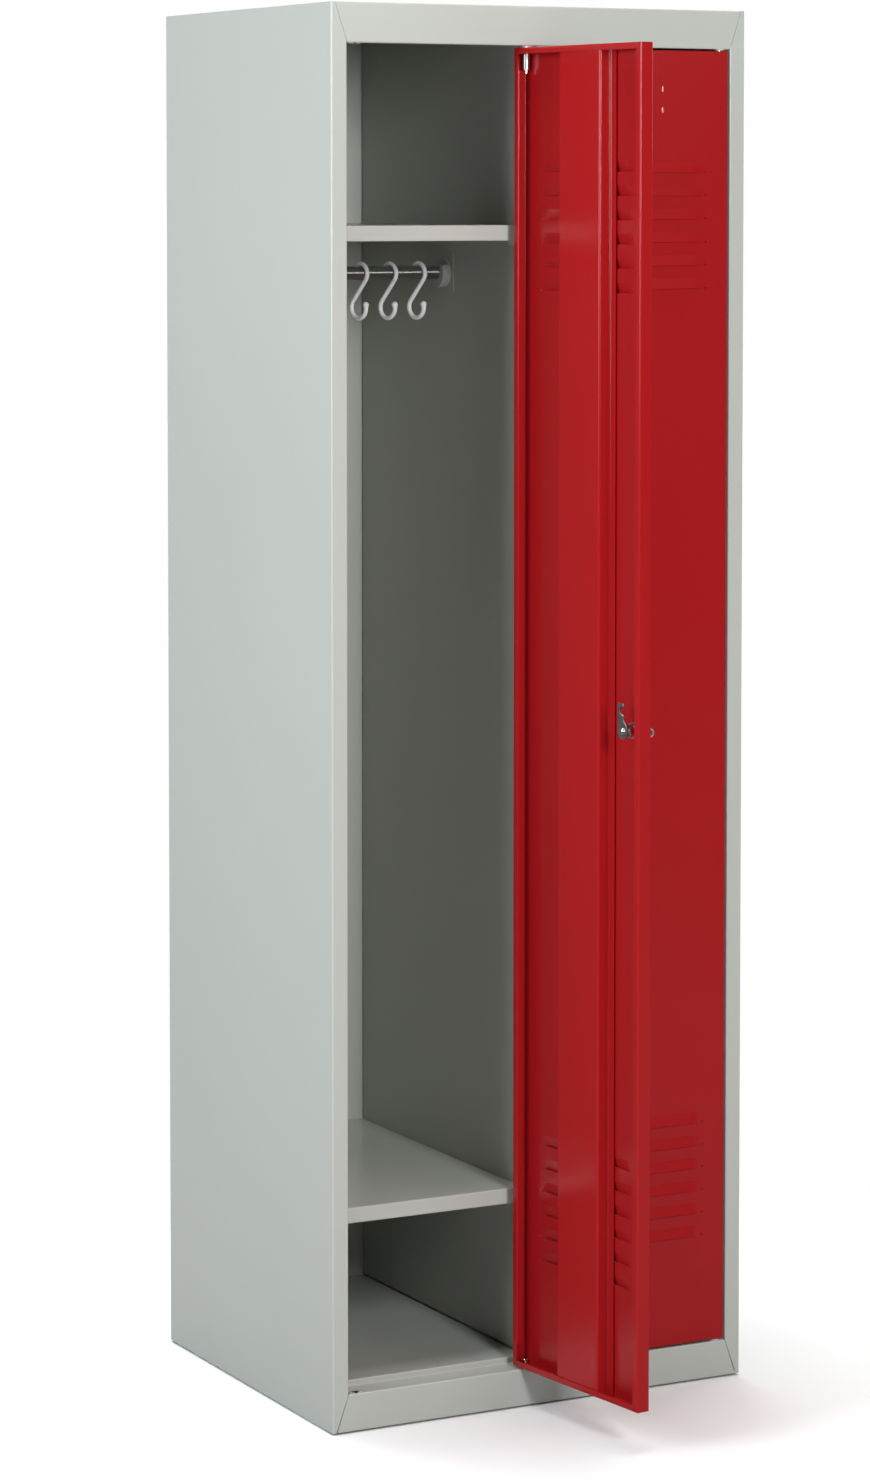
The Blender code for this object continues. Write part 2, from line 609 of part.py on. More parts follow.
def door_panel(name, parent):
    """Door pan: skin with louvres, four walls, mitred lips, and a hinge-side return between the pins."""
    panels, columns, rows = door_skin()
    depth = DOOR_DEPTH
    for low, high in zip(rows, rows[1:]):
        lip_low = max(low, DOOR_BOTTOM + DOOR_END_LIP)
        lip_high = min(high, DOOR_TOP - DOOR_END_LIP)
        for edge, lip in ((0, DOOR_LIP), (DOOR_WIDTH, DOOR_WIDTH - DOOR_LIP)):
            panels.append([door_point(edge, 0, low), door_point(edge, 0, high),
                           door_point(edge, depth, high), door_point(edge, depth, low)])
            panels.append([door_point(edge, depth, low), door_point(edge, depth, high),
                           door_point(lip, depth, lip_high), door_point(lip, depth, lip_low)])
        if DOOR_BOTTOM < low and high < DOOR_TOP:
            inner = PIVOT_DEPTH + TAIL_RADIUS + HINGE_RETURN_GAP
            panels.append([door_point(DOOR_LIP, depth, low), door_point(DOOR_LIP, depth, high),
                           door_point(DOOR_LIP, inner, high), door_point(DOOR_LIP, inner, low)])
    for left, right in zip(columns, columns[1:]):
        lip_left = max(left, DOOR_LIP)
        lip_right = min(right, DOOR_WIDTH - DOOR_LIP)
        for edge, lip in ((DOOR_BOTTOM, DOOR_BOTTOM + DOOR_END_LIP), (DOOR_TOP, DOOR_TOP - DOOR_END_LIP)):
            panels.append([door_point(left, 0, edge), door_point(right, 0, edge),
                           door_point(right, depth, edge), door_point(left, depth, edge)])
            panels.append([door_point(left, depth, edge), door_point(right, depth, edge),
                           door_point(lip_right, depth, lip), door_point(lip_left, depth, lip)])
    piece = folded_sheet(name, panels, OUTWARD, RED_COAT, parent)
    ends = [(0, 0, DOOR_BOTTOM), (0, 0, DOOR_TOP)]
    combine(piece, f"{name}_pin_holes", round_cutter(ends, BUSH_BORE, UP, PIN_REACH), "DIFFERENCE")
    lock = door_point(DOOR_WIDTH - LOCK_EDGE, 0, LOCK_HEIGHT)
    hole = round_cutter([lock], HOUSING_RADIUS + SEAT, OUTWARD, HOUSING_LENGTH / 2)
    combine(piece, f"{name}_lock_hole", hole, "DIFFERENCE")


def door_stiffener(name, parent):
    """Full-height hat channel on the inside of a door's skin."""
    skin = SHEET + SEAT + SHEET
    crown = DOOR_DEPTH - SHEET - STIFFENER_CLEARANCE
    face = STIFFENER_FACE / 2
    foot = face + STIFFENER_SLOPE
    edge = foot + STIFFENER_FLANGE
    section = [(-edge, skin), (-foot, skin), (-face, crown), (face, crown), (foot, skin), (edge, skin)]
    low = DOOR_BOTTOM + SHEET + SEAT
    high = DOOR_TOP - SHEET - SEAT
    panels = []
    for (a, deep_a), (b, deep_b) in zip(section, section[1:]):
        left = STIFFENER_CENTRE + a
        right = STIFFENER_CENTRE + b
        panels.append([door_point(left, deep_a, low), door_point(right, deep_b, low),
                       door_point(right, deep_b, high), door_point(left, deep_a, high)])
    folded_sheet(name, panels, -OUTWARD, RED_COAT, parent)


def upper_pivot(prefix, door, pin_axis):
    """Spring barrel under the door's top wall, with the sliding pivot pin and its spring."""
    top = DOOR_TOP - SHEET - SEAT
    bottom = top - BARREL_LENGTH
    bore = PIN_RADIUS + PIN_PLAY
    tail_bore = TAIL_RADIUS + PIN_PLAY
    barrel = [(bore, top), (BARREL_RADIUS, top), (BARREL_RADIUS, bottom), (tail_bore, bottom),
              (tail_bore, bottom + BARREL_FLOOR), (bore, bottom + BARREL_FLOOR)]
    name = f"{prefix}_pin_barrel"
    place(name, mesh_of(name, turned(barrel, UP), True), ZINC, door)
    shoulder = bottom + BARREL_FLOOR + 4 * SEAT + 2 * SPRING_WIRE * SPRING_TURNS + PIN_STROKE
    tip = OPENING_TOP + SHEET + PIN_REACH - DOOR_GAP
    pin = [(0, tip), (PIN_RADIUS - PIN_CHAMFER, tip), (PIN_RADIUS, tip - PIN_CHAMFER),
           (PIN_RADIUS, shoulder), (TAIL_RADIUS, shoulder), (TAIL_RADIUS, bottom - TAIL_SHOWS),
           (0, bottom - TAIL_SHOWS)]
    name = f"{prefix}_upper_pin"
    place(name, mesh_of(name, turned(pin, UP), True), CHROME, pin_axis)
    coil = (PIN_RADIUS + PIN_PLAY + TAIL_RADIUS) / 2
    low = bottom + BARREL_FLOOR + SEAT + SPRING_WIRE
    high = shoulder - SEAT - SPRING_WIRE
    count = SPRING_TURNS * COIL_STEPS
    turns = [math.tau * SPRING_TURNS * step / count for step in range(count + 1)]
    points = [(coil * math.cos(a), coil * math.sin(a), low + (high - low) * a / turns[-1]) for a in turns]
    tube(f"{prefix}_pin_spring", points, SPRING_WIRE, 0, ZINC, door, (0, 0, 0))


def lower_pivot(prefix, door):
    """Fixed lower pin with a collar inside the door's bottom wall."""
    seat = DOOR_BOTTOM + SHEET + SEAT
    tip = PLINTH_HEIGHT - SHEET - PIN_REACH + DOOR_GAP
    profile = [(0, seat + COLLAR_LENGTH), (BARREL_RADIUS, seat + COLLAR_LENGTH), (BARREL_RADIUS, seat),
               (PIN_RADIUS, seat), (PIN_RADIUS, tip + PIN_CHAMFER), (PIN_RADIUS - PIN_CHAMFER, tip),
               (0, tip)]
    name = f"{prefix}_lower_pin"
    place(name, mesh_of(name, turned(profile, UP), True), CHROME, door)


def lock_body(prefix, lock_axis):
    """Housing through the door's skin with its outside rosette, and the hexagon nut that holds it."""
    bore = SPINDLE_RADIUS + SPINDLE_PLAY
    rosette = SEAT + ROSETTE_THICK
    housing = [(bore, rosette), (ROSETTE_RADIUS - ROSETTE_THICK / 2, rosette), (ROSETTE_RADIUS, SEAT),
               (HOUSING_RADIUS, SEAT), (HOUSING_RADIUS, -HOUSING_LENGTH), (bore, -HOUSING_LENGTH)]
    name = f"{prefix}_lock_housing"
    place(name, mesh_of(name, turned(housing, UP), True), CHROME, lock_axis)
    seat = -SHEET - SEAT
    reach = NUT_FLATS / math.sqrt(3)
    outline = [(reach * math.cos(k * math.tau / 6), reach * math.sin(k * math.tau / 6)) for k in range(6)]
    nut = prism(outline, (1, 0, 0), (0, 1, 0), UP, seat - NUT_THICK, seat)
    name = f"{prefix}_lock_nut"
    piece = place(name, mesh_of(name, nut), ZINC, lock_axis)
    thread = round_cutter([(0, 0, seat - NUT_THICK / 2)], HOUSING_RADIUS + SEAT, UP, NUT_THICK)
    combine(piece, f"{name}_bore", thread, "DIFFERENCE")


def hasp_knob(prefix, latch):
    """Turning spindle with a low-set padlock lug outside; its inner end is bored for the cam's screw."""
    end = -CAM_PLACE + SEAT
    face = 2 * SEAT + ROSETTE_THICK
    bore = SCREW_RADIUS + SEAT
    deep = -CAM_PLACE - CAM_THICK + SCREW_LENGTH
    top = face + HUB_THICK
    spindle = [(0, top), (HUB_RADIUS - HUB_THICK / 2, top), (HUB_RADIUS, face), (SPINDLE_RADIUS, face),
               (SPINDLE_RADIUS, end), (bore, end), (bore, deep), (0, deep)]
    name = f"{prefix}_hasp_knob"
    piece = place(name, mesh_of(name, turned(spindle, UP), True), CHROME, latch)
    half = LUG_HEIGHT / 2
    eye = LUG_REACH - half
    root = face + HUB_THICK / 2
    low = -LUG_DROP
    lug = [(low - half, root), (low + half, root), *arc((low, eye), half, 0, math.pi)]
    blade = prism(lug, (0, 1, 0), UP, (1, 0, 0), -LUG_THICK / 2, LUG_THICK / 2)
    combine(piece, f"{name}_lug", blade, "UNION")
    shackle = round_cutter([(0, low, eye)], SHACKLE_RADIUS, (1, 0, 0), LUG_THICK)
    combine(piece, f"{name}_eye", shackle, "DIFFERENCE")


def lock_cam(prefix, latch):
    """Hook-shaped cam on the spindle's end, pointing up when unlocked, and the screw that holds it.

    The outline is (towards the free edge, up) from the spindle, and its notch faces the free edge.
    """
    notch = CAM_SPINE - CAM_RADIUS
    beak = CAM_NOTCH_END - CAM_BEAK_DROP
    outline = arc((0, 0), CAM_RADIUS, math.pi, math.tau)
    outline += [(CAM_RADIUS, CAM_SHOULDER), (CAM_NECK, CAM_NECK_START), (CAM_NECK, CAM_NOTCH_START),
                (notch, CAM_NOTCH_START + CAM_NOTCH_SLOPE), (notch, CAM_NOTCH_END), (0, CAM_NOTCH_END),
                (CAM_BEAK, beak), (CAM_BEAK, CAM_LENGTH - CAM_BEAK_BEVEL),
                (CAM_BEAK - CAM_BEAK_BEVEL, CAM_LENGTH),
                (CAM_BEAK_BEVEL - CAM_RADIUS, CAM_LENGTH), (-CAM_RADIUS, CAM_LENGTH - CAM_BEAK_BEVEL)]
    outside = -CAM_PLACE
    plate = prism(outline, (-1, 0, 0), (0, 1, 0), UP, outside - CAM_THICK, outside)
    name = f"{prefix}_lock_cam"
    piece = place(name, mesh_of(name, plate), ZINC, latch)
    hole = round_cutter([(0, 0, outside)], SCREW_RADIUS + SEAT, UP, 2 * CAM_THICK)
    combine(piece, f"{name}_hole", hole, "DIFFERENCE")
    seat = outside - CAM_THICK - SEAT
    shank = seat + SCREW_LENGTH
    profile = [(0, shank), (SCREW_RADIUS, shank), (SCREW_RADIUS, seat)]
    profile += [(SCREW_HEAD_RADIUS * math.cos(a), seat - SCREW_HEAD * math.sin(a)) for a in DOME_TURNS]
    profile.append((0, seat - SCREW_HEAD))
    name = f"{prefix}_cam_screw"
    place(name, mesh_of(name, turned(profile, UP), True), ZINC, latch)


def door(prefix, hinge_edge, angle, locker):
    """One door with its pivots and lock, turned open by angle about its pivot axis."""
    centre = (hinge_edge - PIVOT_INSET, DOOR_SKIN + PIVOT_DEPTH, 0)
    pivot = empty(f"{prefix}_door_pivot", locker, centre, (0, 0, angle))
    pin_axis = empty(f"{prefix}_upper_pin_axis", pivot, (0, 0, 0))
    lock = door_point(DOOR_WIDTH - LOCK_EDGE, 0, LOCK_HEIGHT)
    lock_axis = empty(f"{prefix}_lock_axis", pivot, lock, (math.pi / 2, 0, 0))
    latch = empty(f"{prefix}_latch_axis", lock_axis, (0, 0, 0))
    door_panel(f"{prefix}_door_panel", pivot)
    door_stiffener(f"{prefix}_door_stiffener", pivot)
    upper_pivot(prefix, pivot, pin_axis)
    lower_pivot(prefix, pivot)
    lock_body(prefix, lock_axis)
    hasp_knob(prefix, latch)
    lock_cam(prefix, latch)
    bush(f"{prefix}_upper_bush", hinge_edge, OPENING_TOP, -1, locker)
    bush(f"{prefix}_lower_bush", hinge_edge, PLINTH_HEIGHT, 1, locker)


def compartment(prefix, side, locker):
    """Shelves with their clips, rail and hooks of one compartment."""
    for kind, top in (("hat", HAT_SHELF), ("shoe", SHOE_SHELF)):
        shelf(f"{prefix}_{kind}_shelf", side, top, locker)
        shelf_clip(f"{prefix}_{kind}_clip_inner", side * PARTITION_WIDTH / 2, side, top, locker)
        shelf_clip(f"{prefix}_{kind}_clip_outer", side * WALL, -side, top, locker)
    rail(prefix, side, locker)
    hooks(prefix, side, locker)


def centre_on_ground(locker):
    """Move the whole locker so that the origin is the middle of its bounding box, at the ground."""
    graph = bpy.context.evaluated_depsgraph_get()
    corners = []
    for piece in bpy.context.scene.objects:
        if piece.type != "EMPTY" and not piece.hide_render:
            ready = piece.evaluated_get(graph)
            data = ready.to_mesh()
            corners += [ready.matrix_world @ point.co for point in data.vertices]
            ready.to_mesh_clear()
    low = [min(point[axis] for point in corners) for axis in range(3)]
    high = [max(point[axis] for point in corners) for axis in range(3)]
    locker.location = (-(low[0] + high[0]) / 2, -(low[1] + high[1]) / 2, -low[2])


for leftover in list(bpy.data.objects):
    bpy.data.objects.remove(leftover)
body = empty("locker", None, (0, 0, 0))
side_panel("left_side_panel", -1, body)
side_panel("right_side_panel", 1, body)
top_panel(body)
base_panel(body)
back_panel(body)
centre_partition(body)
compartment("left", -1, body)
compartment("right", 1, body)
door("left", LEFT_HINGE_EDGE, OPEN_ANGLE, body)
door("right", RIGHT_HINGE_EDGE, 0, body)
bpy.context.view_layer.update()
centre_on_ground(body)
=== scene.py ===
import json
import math

import bmesh
import bpy
import numpy as np
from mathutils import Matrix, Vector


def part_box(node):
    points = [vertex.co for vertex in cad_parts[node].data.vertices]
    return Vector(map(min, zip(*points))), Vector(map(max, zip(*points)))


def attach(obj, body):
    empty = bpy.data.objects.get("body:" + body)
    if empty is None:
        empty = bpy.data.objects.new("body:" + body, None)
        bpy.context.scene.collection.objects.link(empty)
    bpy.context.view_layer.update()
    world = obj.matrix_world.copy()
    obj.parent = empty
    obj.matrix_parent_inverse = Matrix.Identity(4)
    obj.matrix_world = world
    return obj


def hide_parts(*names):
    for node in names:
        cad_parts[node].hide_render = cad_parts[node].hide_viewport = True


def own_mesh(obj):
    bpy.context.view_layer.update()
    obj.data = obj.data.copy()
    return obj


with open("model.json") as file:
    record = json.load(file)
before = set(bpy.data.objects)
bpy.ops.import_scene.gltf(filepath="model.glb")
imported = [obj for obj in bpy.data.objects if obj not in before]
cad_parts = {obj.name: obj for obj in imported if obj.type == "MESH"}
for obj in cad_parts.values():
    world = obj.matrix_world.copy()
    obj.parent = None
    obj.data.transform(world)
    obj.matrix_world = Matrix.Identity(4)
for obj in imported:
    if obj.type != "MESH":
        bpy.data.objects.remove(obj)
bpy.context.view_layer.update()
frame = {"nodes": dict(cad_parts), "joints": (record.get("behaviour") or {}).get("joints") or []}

# Side panels
# Each side is one sheet of 0.8 mm steel, powder coated light grey. Its front edge is folded into a stile
# with a return that the door shuts into, its rear edge into a flange, and its foot inwards, set back.
RIGHT, DEEP, UP = np.eye(3)


def folded(corners, radius, steps=6, shoulder=0.0006):
    """Line of a bent sheet seen along its folds: straight runs joined by arcs of one radius.

    Each arc touches both runs of its corner; its points turn from one radius to the other by equal
    angles. A point beside each end of an arc keeps the flats flat in the shading. Also returns each
    point's station, which is its corner's number plus the share of the run behind it.
    """
    nearly_straight = 0.01
    corners = np.asarray(corners, float)
    line = [corners[:1]]
    for before, here, after in zip(corners, corners[1:], corners[2:]):
        behind = (before - here) / np.linalg.norm(before - here)
        ahead = (after - here) / np.linalg.norm(after - here)
        turn = math.pi - math.acos(np.clip(behind @ ahead, -1, 1))
        if turn < nearly_straight:
            line.append(here[None])
            continue
        reach = radius * math.tan(turn / 2)
        centre = here + (behind + ahead) * radius / math.sin(turn)
        start = here + behind * reach - centre
        end = here + ahead * reach - centre
        share = np.linspace(0, 1, steps + 1)[:, None]
        arc = centre + (np.sin((1 - share) * turn) * start + np.sin(share * turn) * end) / math.sin(turn)
        line += [here[None] + behind * (reach + shoulder), arc, here[None] + ahead * (reach + shoulder)]
    line = np.concatenate([*line, corners[-1:]])
    run = np.diff(corners, axis=0)
    offset = line[:, None] - corners[None, :-1]
    share = np.clip((offset * run).sum(2) / (run ** 2).sum(1), 0, 1)
    nearest = np.linalg.norm(offset - share[..., None] * run, axis=2).argmin(1)
    return line, nearest + share[np.arange(len(line)), nearest]


def swept(line, across, up, along, low, high, rows=(0, 1)):
    """Surface of a line carried straight: P(s, t) = across a(s) + up b(s) + along (low + t (high - low))."""
    line = np.asarray(line, float)
    low = np.broadcast_to(low, len(line))[:, None, None]
    high = np.broadcast_to(high, len(line))[:, None, None]
    share = np.asarray(rows, float)[None, :, None]
    section = line[:, :1] * across + line[:, 1:] * up
    return section[:, None] + along * (low + share * (high - low))


def shell(outer, thick, turn=False, keep=None):
    """Sheet behind a surface: a second face lies one thickness back along the normal, and rims close it.

    The normal is the cross product of the surface's two tangents, and turn reverses it. Cells that
    keep marks false are left out, and rims close the hole around them.
    """
    if turn:
        outer = outer[:, ::-1]
        keep = None if keep is None else keep[:, ::-1]
    normal = np.cross(np.gradient(outer, axis=0), np.gradient(outer, axis=1))
    normal /= np.linalg.norm(normal, axis=2, keepdims=True)
    m, n = outer.shape[:2]
    points = np.concatenate([outer.reshape(-1, 3), (outer - normal * thick).reshape(-1, 3)])
    number = np.arange(m * n).reshape(m, n)
    keep = np.ones((m - 1, n - 1), bool) if keep is None else keep
    cells = np.stack([number[:-1, :-1], number[1:, :-1], number[1:, 1:], number[:-1, 1:]], axis=-1)[keep]
    framed = np.pad(keep, 1).astype(int)
    rims = []
    for first, second, change in ((number[:, :-1], number[:, 1:], np.diff(framed[:, 1:-1], axis=0)),
                                  (number[1:], number[:-1], np.diff(framed[1:-1], axis=1))):
        for one, two, sign in ((first, second, 1), (second, first, -1)):
            edge = change == sign
            rims.append(np.stack([one[edge], two[edge], two[edge] + m * n, one[edge] + m * n], axis=-1))
    return points, [cells, cells[:, ::-1] + m * n, *rims]


def srgb(red, green, blue):
    """Linear RGBA of an sRGB colour from 0 to 255."""
    share = np.array([red, green, blue]) / 255
    return (*np.where(share <= 0.04045, share / 12.92, ((share + 0.055) / 1.055) ** 2.4), 1.0)


class Term:
    """A node's output in a finish. Sums, differences and products of terms add Math nodes."""

    def __init__(self, finish, socket):
        self.finish, self.socket = finish, socket

    def sum_of(self, operation, first, second):
        return self.finish.node("ShaderNodeMath", {"operation": operation}, {0: first, 1: second})

    def __add__(self, other):
        return self.sum_of("ADD", self, other)

    def __radd__(self, other):
        return self.sum_of("ADD", other, self)

    def __sub__(self, other):
        return self.sum_of("SUBTRACT", self, other)

    def __rsub__(self, other):
        return self.sum_of("SUBTRACT", other, self)

    def __mul__(self, other):
        return self.sum_of("MULTIPLY", self, other)

    def __rmul__(self, other):
        return self.sum_of("MULTIPLY", other, self)


class Finish:
    """A material whose main shader is fed by terms; constants go on the shader's own sockets."""

    def __init__(self, name, constants):
        self.material = bpy.data.materials.new(name)
        self.material.use_nodes = True
        self.tree = self.material.node_tree
        self.shader = self.tree.nodes["Principled BSDF"]
        for socket, value in constants.items():
            self.shader.inputs[socket].default_value = value

    def join(self, value, socket):
        if isinstance(value, Term):
            self.tree.links.new(value.socket, socket)
        else:
            socket.default_value = value

    def node(self, kind, settings, sockets, output=0):
        made = self.tree.nodes.new(kind)
        stops = settings.get("stops", ())
        for key, value in settings.items():
            if key != "stops":
                setattr(made, key, value)
        for number, (place, colour) in enumerate(stops):
            spots = made.color_ramp.elements
            spot = spots[number] if number < 2 else spots.new(place)
            spot.position, spot.color = place, colour
        for key, value in sockets.items():
            self.join(value, made.inputs[key])
        return Term(self, made.outputs[output])

    def place(self):
        return self.node("ShaderNodeTexCoord", {}, {}, "Object")

    def stretched(self, place, *scale):
        return self.node("ShaderNodeMapping", {}, {"Vector": place, "Scale": scale})

    def noise(self, place, scale, detail=2.0, rough=0.5):
        return self.node("ShaderNodeTexNoise", {}, {"Vector": place, "Scale": scale, "Detail": detail,
                                                    "Roughness": rough}, "Fac")

    def blend(self, share, first, second):
        return self.node("ShaderNodeMix", {"data_type": "RGBA"}, {0: share, 6: first, 7: second}, 2)

    def ramp(self, value, *stops):
        return self.node("ShaderNodeValToRGB", {"stops": stops}, {"Fac": value})

    def feed(self, **sockets):
        for socket, value in sockets.items():
            self.join(value, self.shader.inputs[socket.replace("_", " ")])

    def bump(self, height, depth, strength):
        self.feed(Normal=self.node("ShaderNodeBump", {}, {"Height": height, "Distance": depth,
                                                          "Strength": strength}))


def powder_coat(name, colour, deeper, roughness, sheen, relief):
    """Baked powder: slow drift of tone, fine orange peel of about 1.5 mm, and pin-head specks."""
    coat = Finish(name, {"Specular IOR Level": sheen})
    place = coat.place()
    drift = coat.noise(place, scale=2.2)
    peel = coat.noise(place, scale=620.0, rough=0.55)
    specks = coat.noise(place, scale=2400.0, detail=1.0)
    tone = 0.62 + 0.5 * (drift - 0.5) + 0.16 * (specks - 0.5)
    coat.feed(Base_Color=coat.blend(tone, deeper, colour),
              Roughness=roughness + 0.06 * (drift - 0.5) + 0.06 * (peel - 0.5))
    coat.bump(peel + 0.35 * specks, relief, strength=0.25)
    return coat.material


grey_coat = powder_coat("grey powder coat", srgb(200, 204, 198), srgb(193, 197, 191),
                        roughness=0.21, sheen=0.55, relief=0.00006)


def piece(name, parts, finish, slot, body, *nodes, sharp=38):
    """One object of closed parts, with its finish, its body, and the CAD nodes that it stands for."""
    starts = np.cumsum([0] + [len(points) for points, faces in parts])
    points = np.concatenate([points for points, faces in parts])
    loops = [block + start for start, (_, faces) in zip(starts, parts) for block in faces if len(block)]
    lengths = np.concatenate([np.full(len(block), block.shape[1]) for block in loops])
    corners = np.concatenate([block.ravel() for block in loops])
    mesh = bpy.data.meshes.new(name)
    mesh.vertices.add(len(points))
    mesh.vertices.foreach_set("co", points.astype(np.float32).ravel())
    mesh.loops.add(len(corners))
    mesh.loops.foreach_set("vertex_index", corners.astype(np.int32))
    mesh.polygons.add(len(lengths))
    mesh.polygons.foreach_set("loop_start", (np.cumsum(lengths) - lengths).astype(np.int32))
    mesh.update(calc_edges=True)
    form = bmesh.new()
    form.from_mesh(mesh)
    bmesh.ops.delete(form, geom=[spot for spot in form.verts if not spot.link_faces], context="VERTS")
    bmesh.ops.recalc_face_normals(form, faces=form.faces)
    form.to_mesh(mesh)
    form.free()
    mesh.shade_smooth()
    mesh.set_sharp_from_angle(angle=math.radians(sharp))
    mesh.materials.append(finish)
    made = bpy.data.objects.new(name, mesh)
    bpy.context.scene.collection.objects.link(made)
    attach(made, body)
    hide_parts(*nodes)
    return made


sheet, bend, seat = 0.0008, 0.0017, 0.0003
side_low, side_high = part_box("left_side_panel")
front, back, half, height = side_low.y, side_high.y, -side_low.x, side_high.z
stile, rail_height, frame_return, flange, relief = 0.022, 0.050, 0.020, 0.020, 0.030
mitre_end, foot_fold, foot_inset, foot_bend = 0.005, 0.0026, 0.005, 0.0008
opening = half - stile
for side, word in ((-1, "left"), (1, "right")):
    outline, station = folded([(side * opening, front + frame_return), (side * opening, front),
                               (side * (half - mitre_end), front), (side * half, front),
                               (side * half, back), (side * (half - flange), back)], bend)
    corner, stile_foot = np.arange(6), rail_height + seat
    low = np.interp(station, corner, [stile_foot, stile_foot, foot_fold, foot_fold, foot_fold, relief])
    high = height - np.interp(station, corner, [rail_height, rail_height, 0, 0, 0, relief])
    wall = shell(swept(outline, RIGHT, DEEP, UP, low, high), sheet, side < 0)
    foot_line, _ = folded([(side * (half - sheet), foot_fold), (side * (half - foot_inset), foot_fold),
                           (side * (half - foot_inset), 0), (side * (half - flange), 0)], foot_bend)
    foot = shell(swept(foot_line, RIGHT, UP, DEEP, front + flange, back - flange), sheet, side < 0)
    piece(f"{word}_side", [wall, foot], grey_coat, "grey_coat", "carcass", f"{word}_side_panel")

# Top
# One sheet with a mitred front rail that folds back under itself as the ledge for the upper pivots.
# The ledge has a used and a spare pivot hole for each door, which can be hung on either side.
mitre_gap, fold_run = 0.0004, 0.0035
door_width, pivot_inset = 0.265, 0.010
pivot_spots = []
hinges = {joint["name"]: joint for joint in frame["joints"]}
for word in ("left", "right"):
    used = hinges[f"{word}_door_hinge"]["pos_m"]
    pivot_spots += [used[0], used[0] - door_width + 2 * pivot_inset]
pivot_depth = hinges["left_door_hinge"]["pos_m"][1]
hole_radius, hole_cell = 0.0044, 0.008


def pierced(left, right, near, far, level, centres, depth, radius, turn):
    """Level strip with round holes: plain stretches, and around each hole a patch of rays.

    On a ray at angle a the patch is P = centre + (cos a, sin a) (radius + t (edge(a) - radius)), where
    edge(a) is how far the ray runs to the patch's rectangle.
    """
    parts, stops, tiny = [], [left], 1e-9
    for centre in sorted(centres):
        stops += [centre - hole_cell, centre + hole_cell]
    stops.append(right)
    for first, last in zip(stops[::2], stops[1::2]):
        plain = swept([(near, level), (far, level)], DEEP, UP, RIGHT, first, last)
        parts.append(shell(plain, sheet, turn))
    for centre in centres:
        sides = np.array([[-hole_cell, near - depth], [hole_cell, near - depth],
                          [hole_cell, far - depth], [-hole_cell, far - depth]])
        corner = np.arctan2(sides[:, 1], sides[:, 0])
        angle = np.unique(np.concatenate([np.linspace(-math.pi, math.pi, 49), corner]))
        cos, sin = np.cos(angle), np.sin(angle)
        run_across = hole_cell / np.maximum(abs(cos), tiny)
        run_deep = np.where(sin > 0, far - depth, depth - near) / np.maximum(abs(sin), tiny)
        edge = np.minimum(run_across, run_deep)[:, None]
        reach = radius + np.linspace(0, 1, 3) * (edge - radius)
        patch = np.stack([centre + reach * cos[:, None], depth + reach * sin[:, None],
                          np.full_like(reach, level)], axis=-1)
        parts.append(shell(patch, sheet, not turn))
    return parts


wall_inside = half - sheet
ledge_start = front + fold_run
outline, station = folded([(ledge_start, height - rail_height), (front, height - rail_height),
                           (front, height), (back, height), (back, height - flange)], bend)
narrow, wide, flange_half = opening - mitre_gap, wall_inside - mitre_gap, half - flange - seat
mitre_stop, roof_start, flange_start = 2.0034, 2.0046, 3.004
limit = np.interp(station, [0, 1, mitre_stop, roof_start, 3, flange_start, 4],
                  [narrow, narrow, half - mitre_end - mitre_gap, wide, wide, flange_half, flange_half])
top = shell(swept(outline, DEEP, UP, RIGHT, -limit, limit), sheet, True)
upper_ledge = pierced(mitre_gap - opening, opening - mitre_gap, ledge_start, front + frame_return,
                      height - rail_height, pivot_spots, pivot_depth, hole_radius, False)
piece("top", [top, *upper_ledge], grey_coat, "grey_coat", "carcass", "top_panel")

# Base
# One sheet: a plinth with a bottom return, the lower pivot ledge, and the floor one step up behind it.
# The plinth meets the stiles in mitres, and stands 2 mm clear of the ground.
base_low, base_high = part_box("base_panel")
floor, lift, plinth = base_high.z, base_low.z, 0.050
shelf_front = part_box("left_shoe_shelf")[0].y
base_half = base_high.x
slope = (half - mitre_end - opening) / plinth
outline, station = folded([(front + flange - sheet, lift), (front, lift), (front, plinth),
                           (ledge_start, plinth)], bend)
low_half = half - mitre_end - mitre_gap - slope * lift
limit = np.interp(station, [0, 1, 2, 3], [low_half, low_half, opening - mitre_gap, opening - mitre_gap])
kick = shell(swept(outline, DEEP, UP, RIGHT, -limit, limit), sheet, True)
step_start = shelf_front - fold_run
lower_ledge = pierced(-base_half, base_half, ledge_start, step_start, plinth, pivot_spots, pivot_depth,
                      hole_radius, True)
outline, _ = folded([(step_start, plinth), (shelf_front, plinth), (shelf_front, floor),
                     (base_high.y, floor)], bend)
tray = shell(swept(outline, DEEP, UP, RIGHT, -base_half, base_half), sheet, True)
piece("base", [kick, *lower_ledge, tray], grey_coat, "grey_coat", "carcass", "base_panel")

# Back
# A flat sheet that lies against the rear flanges of the sides and the top. It is coated light grey like
# them, and the solid itself is shown.
back_sheet = frame["nodes"]["back_panel"].data
back_sheet.materials.clear()
back_sheet.materials.append(grey_coat)

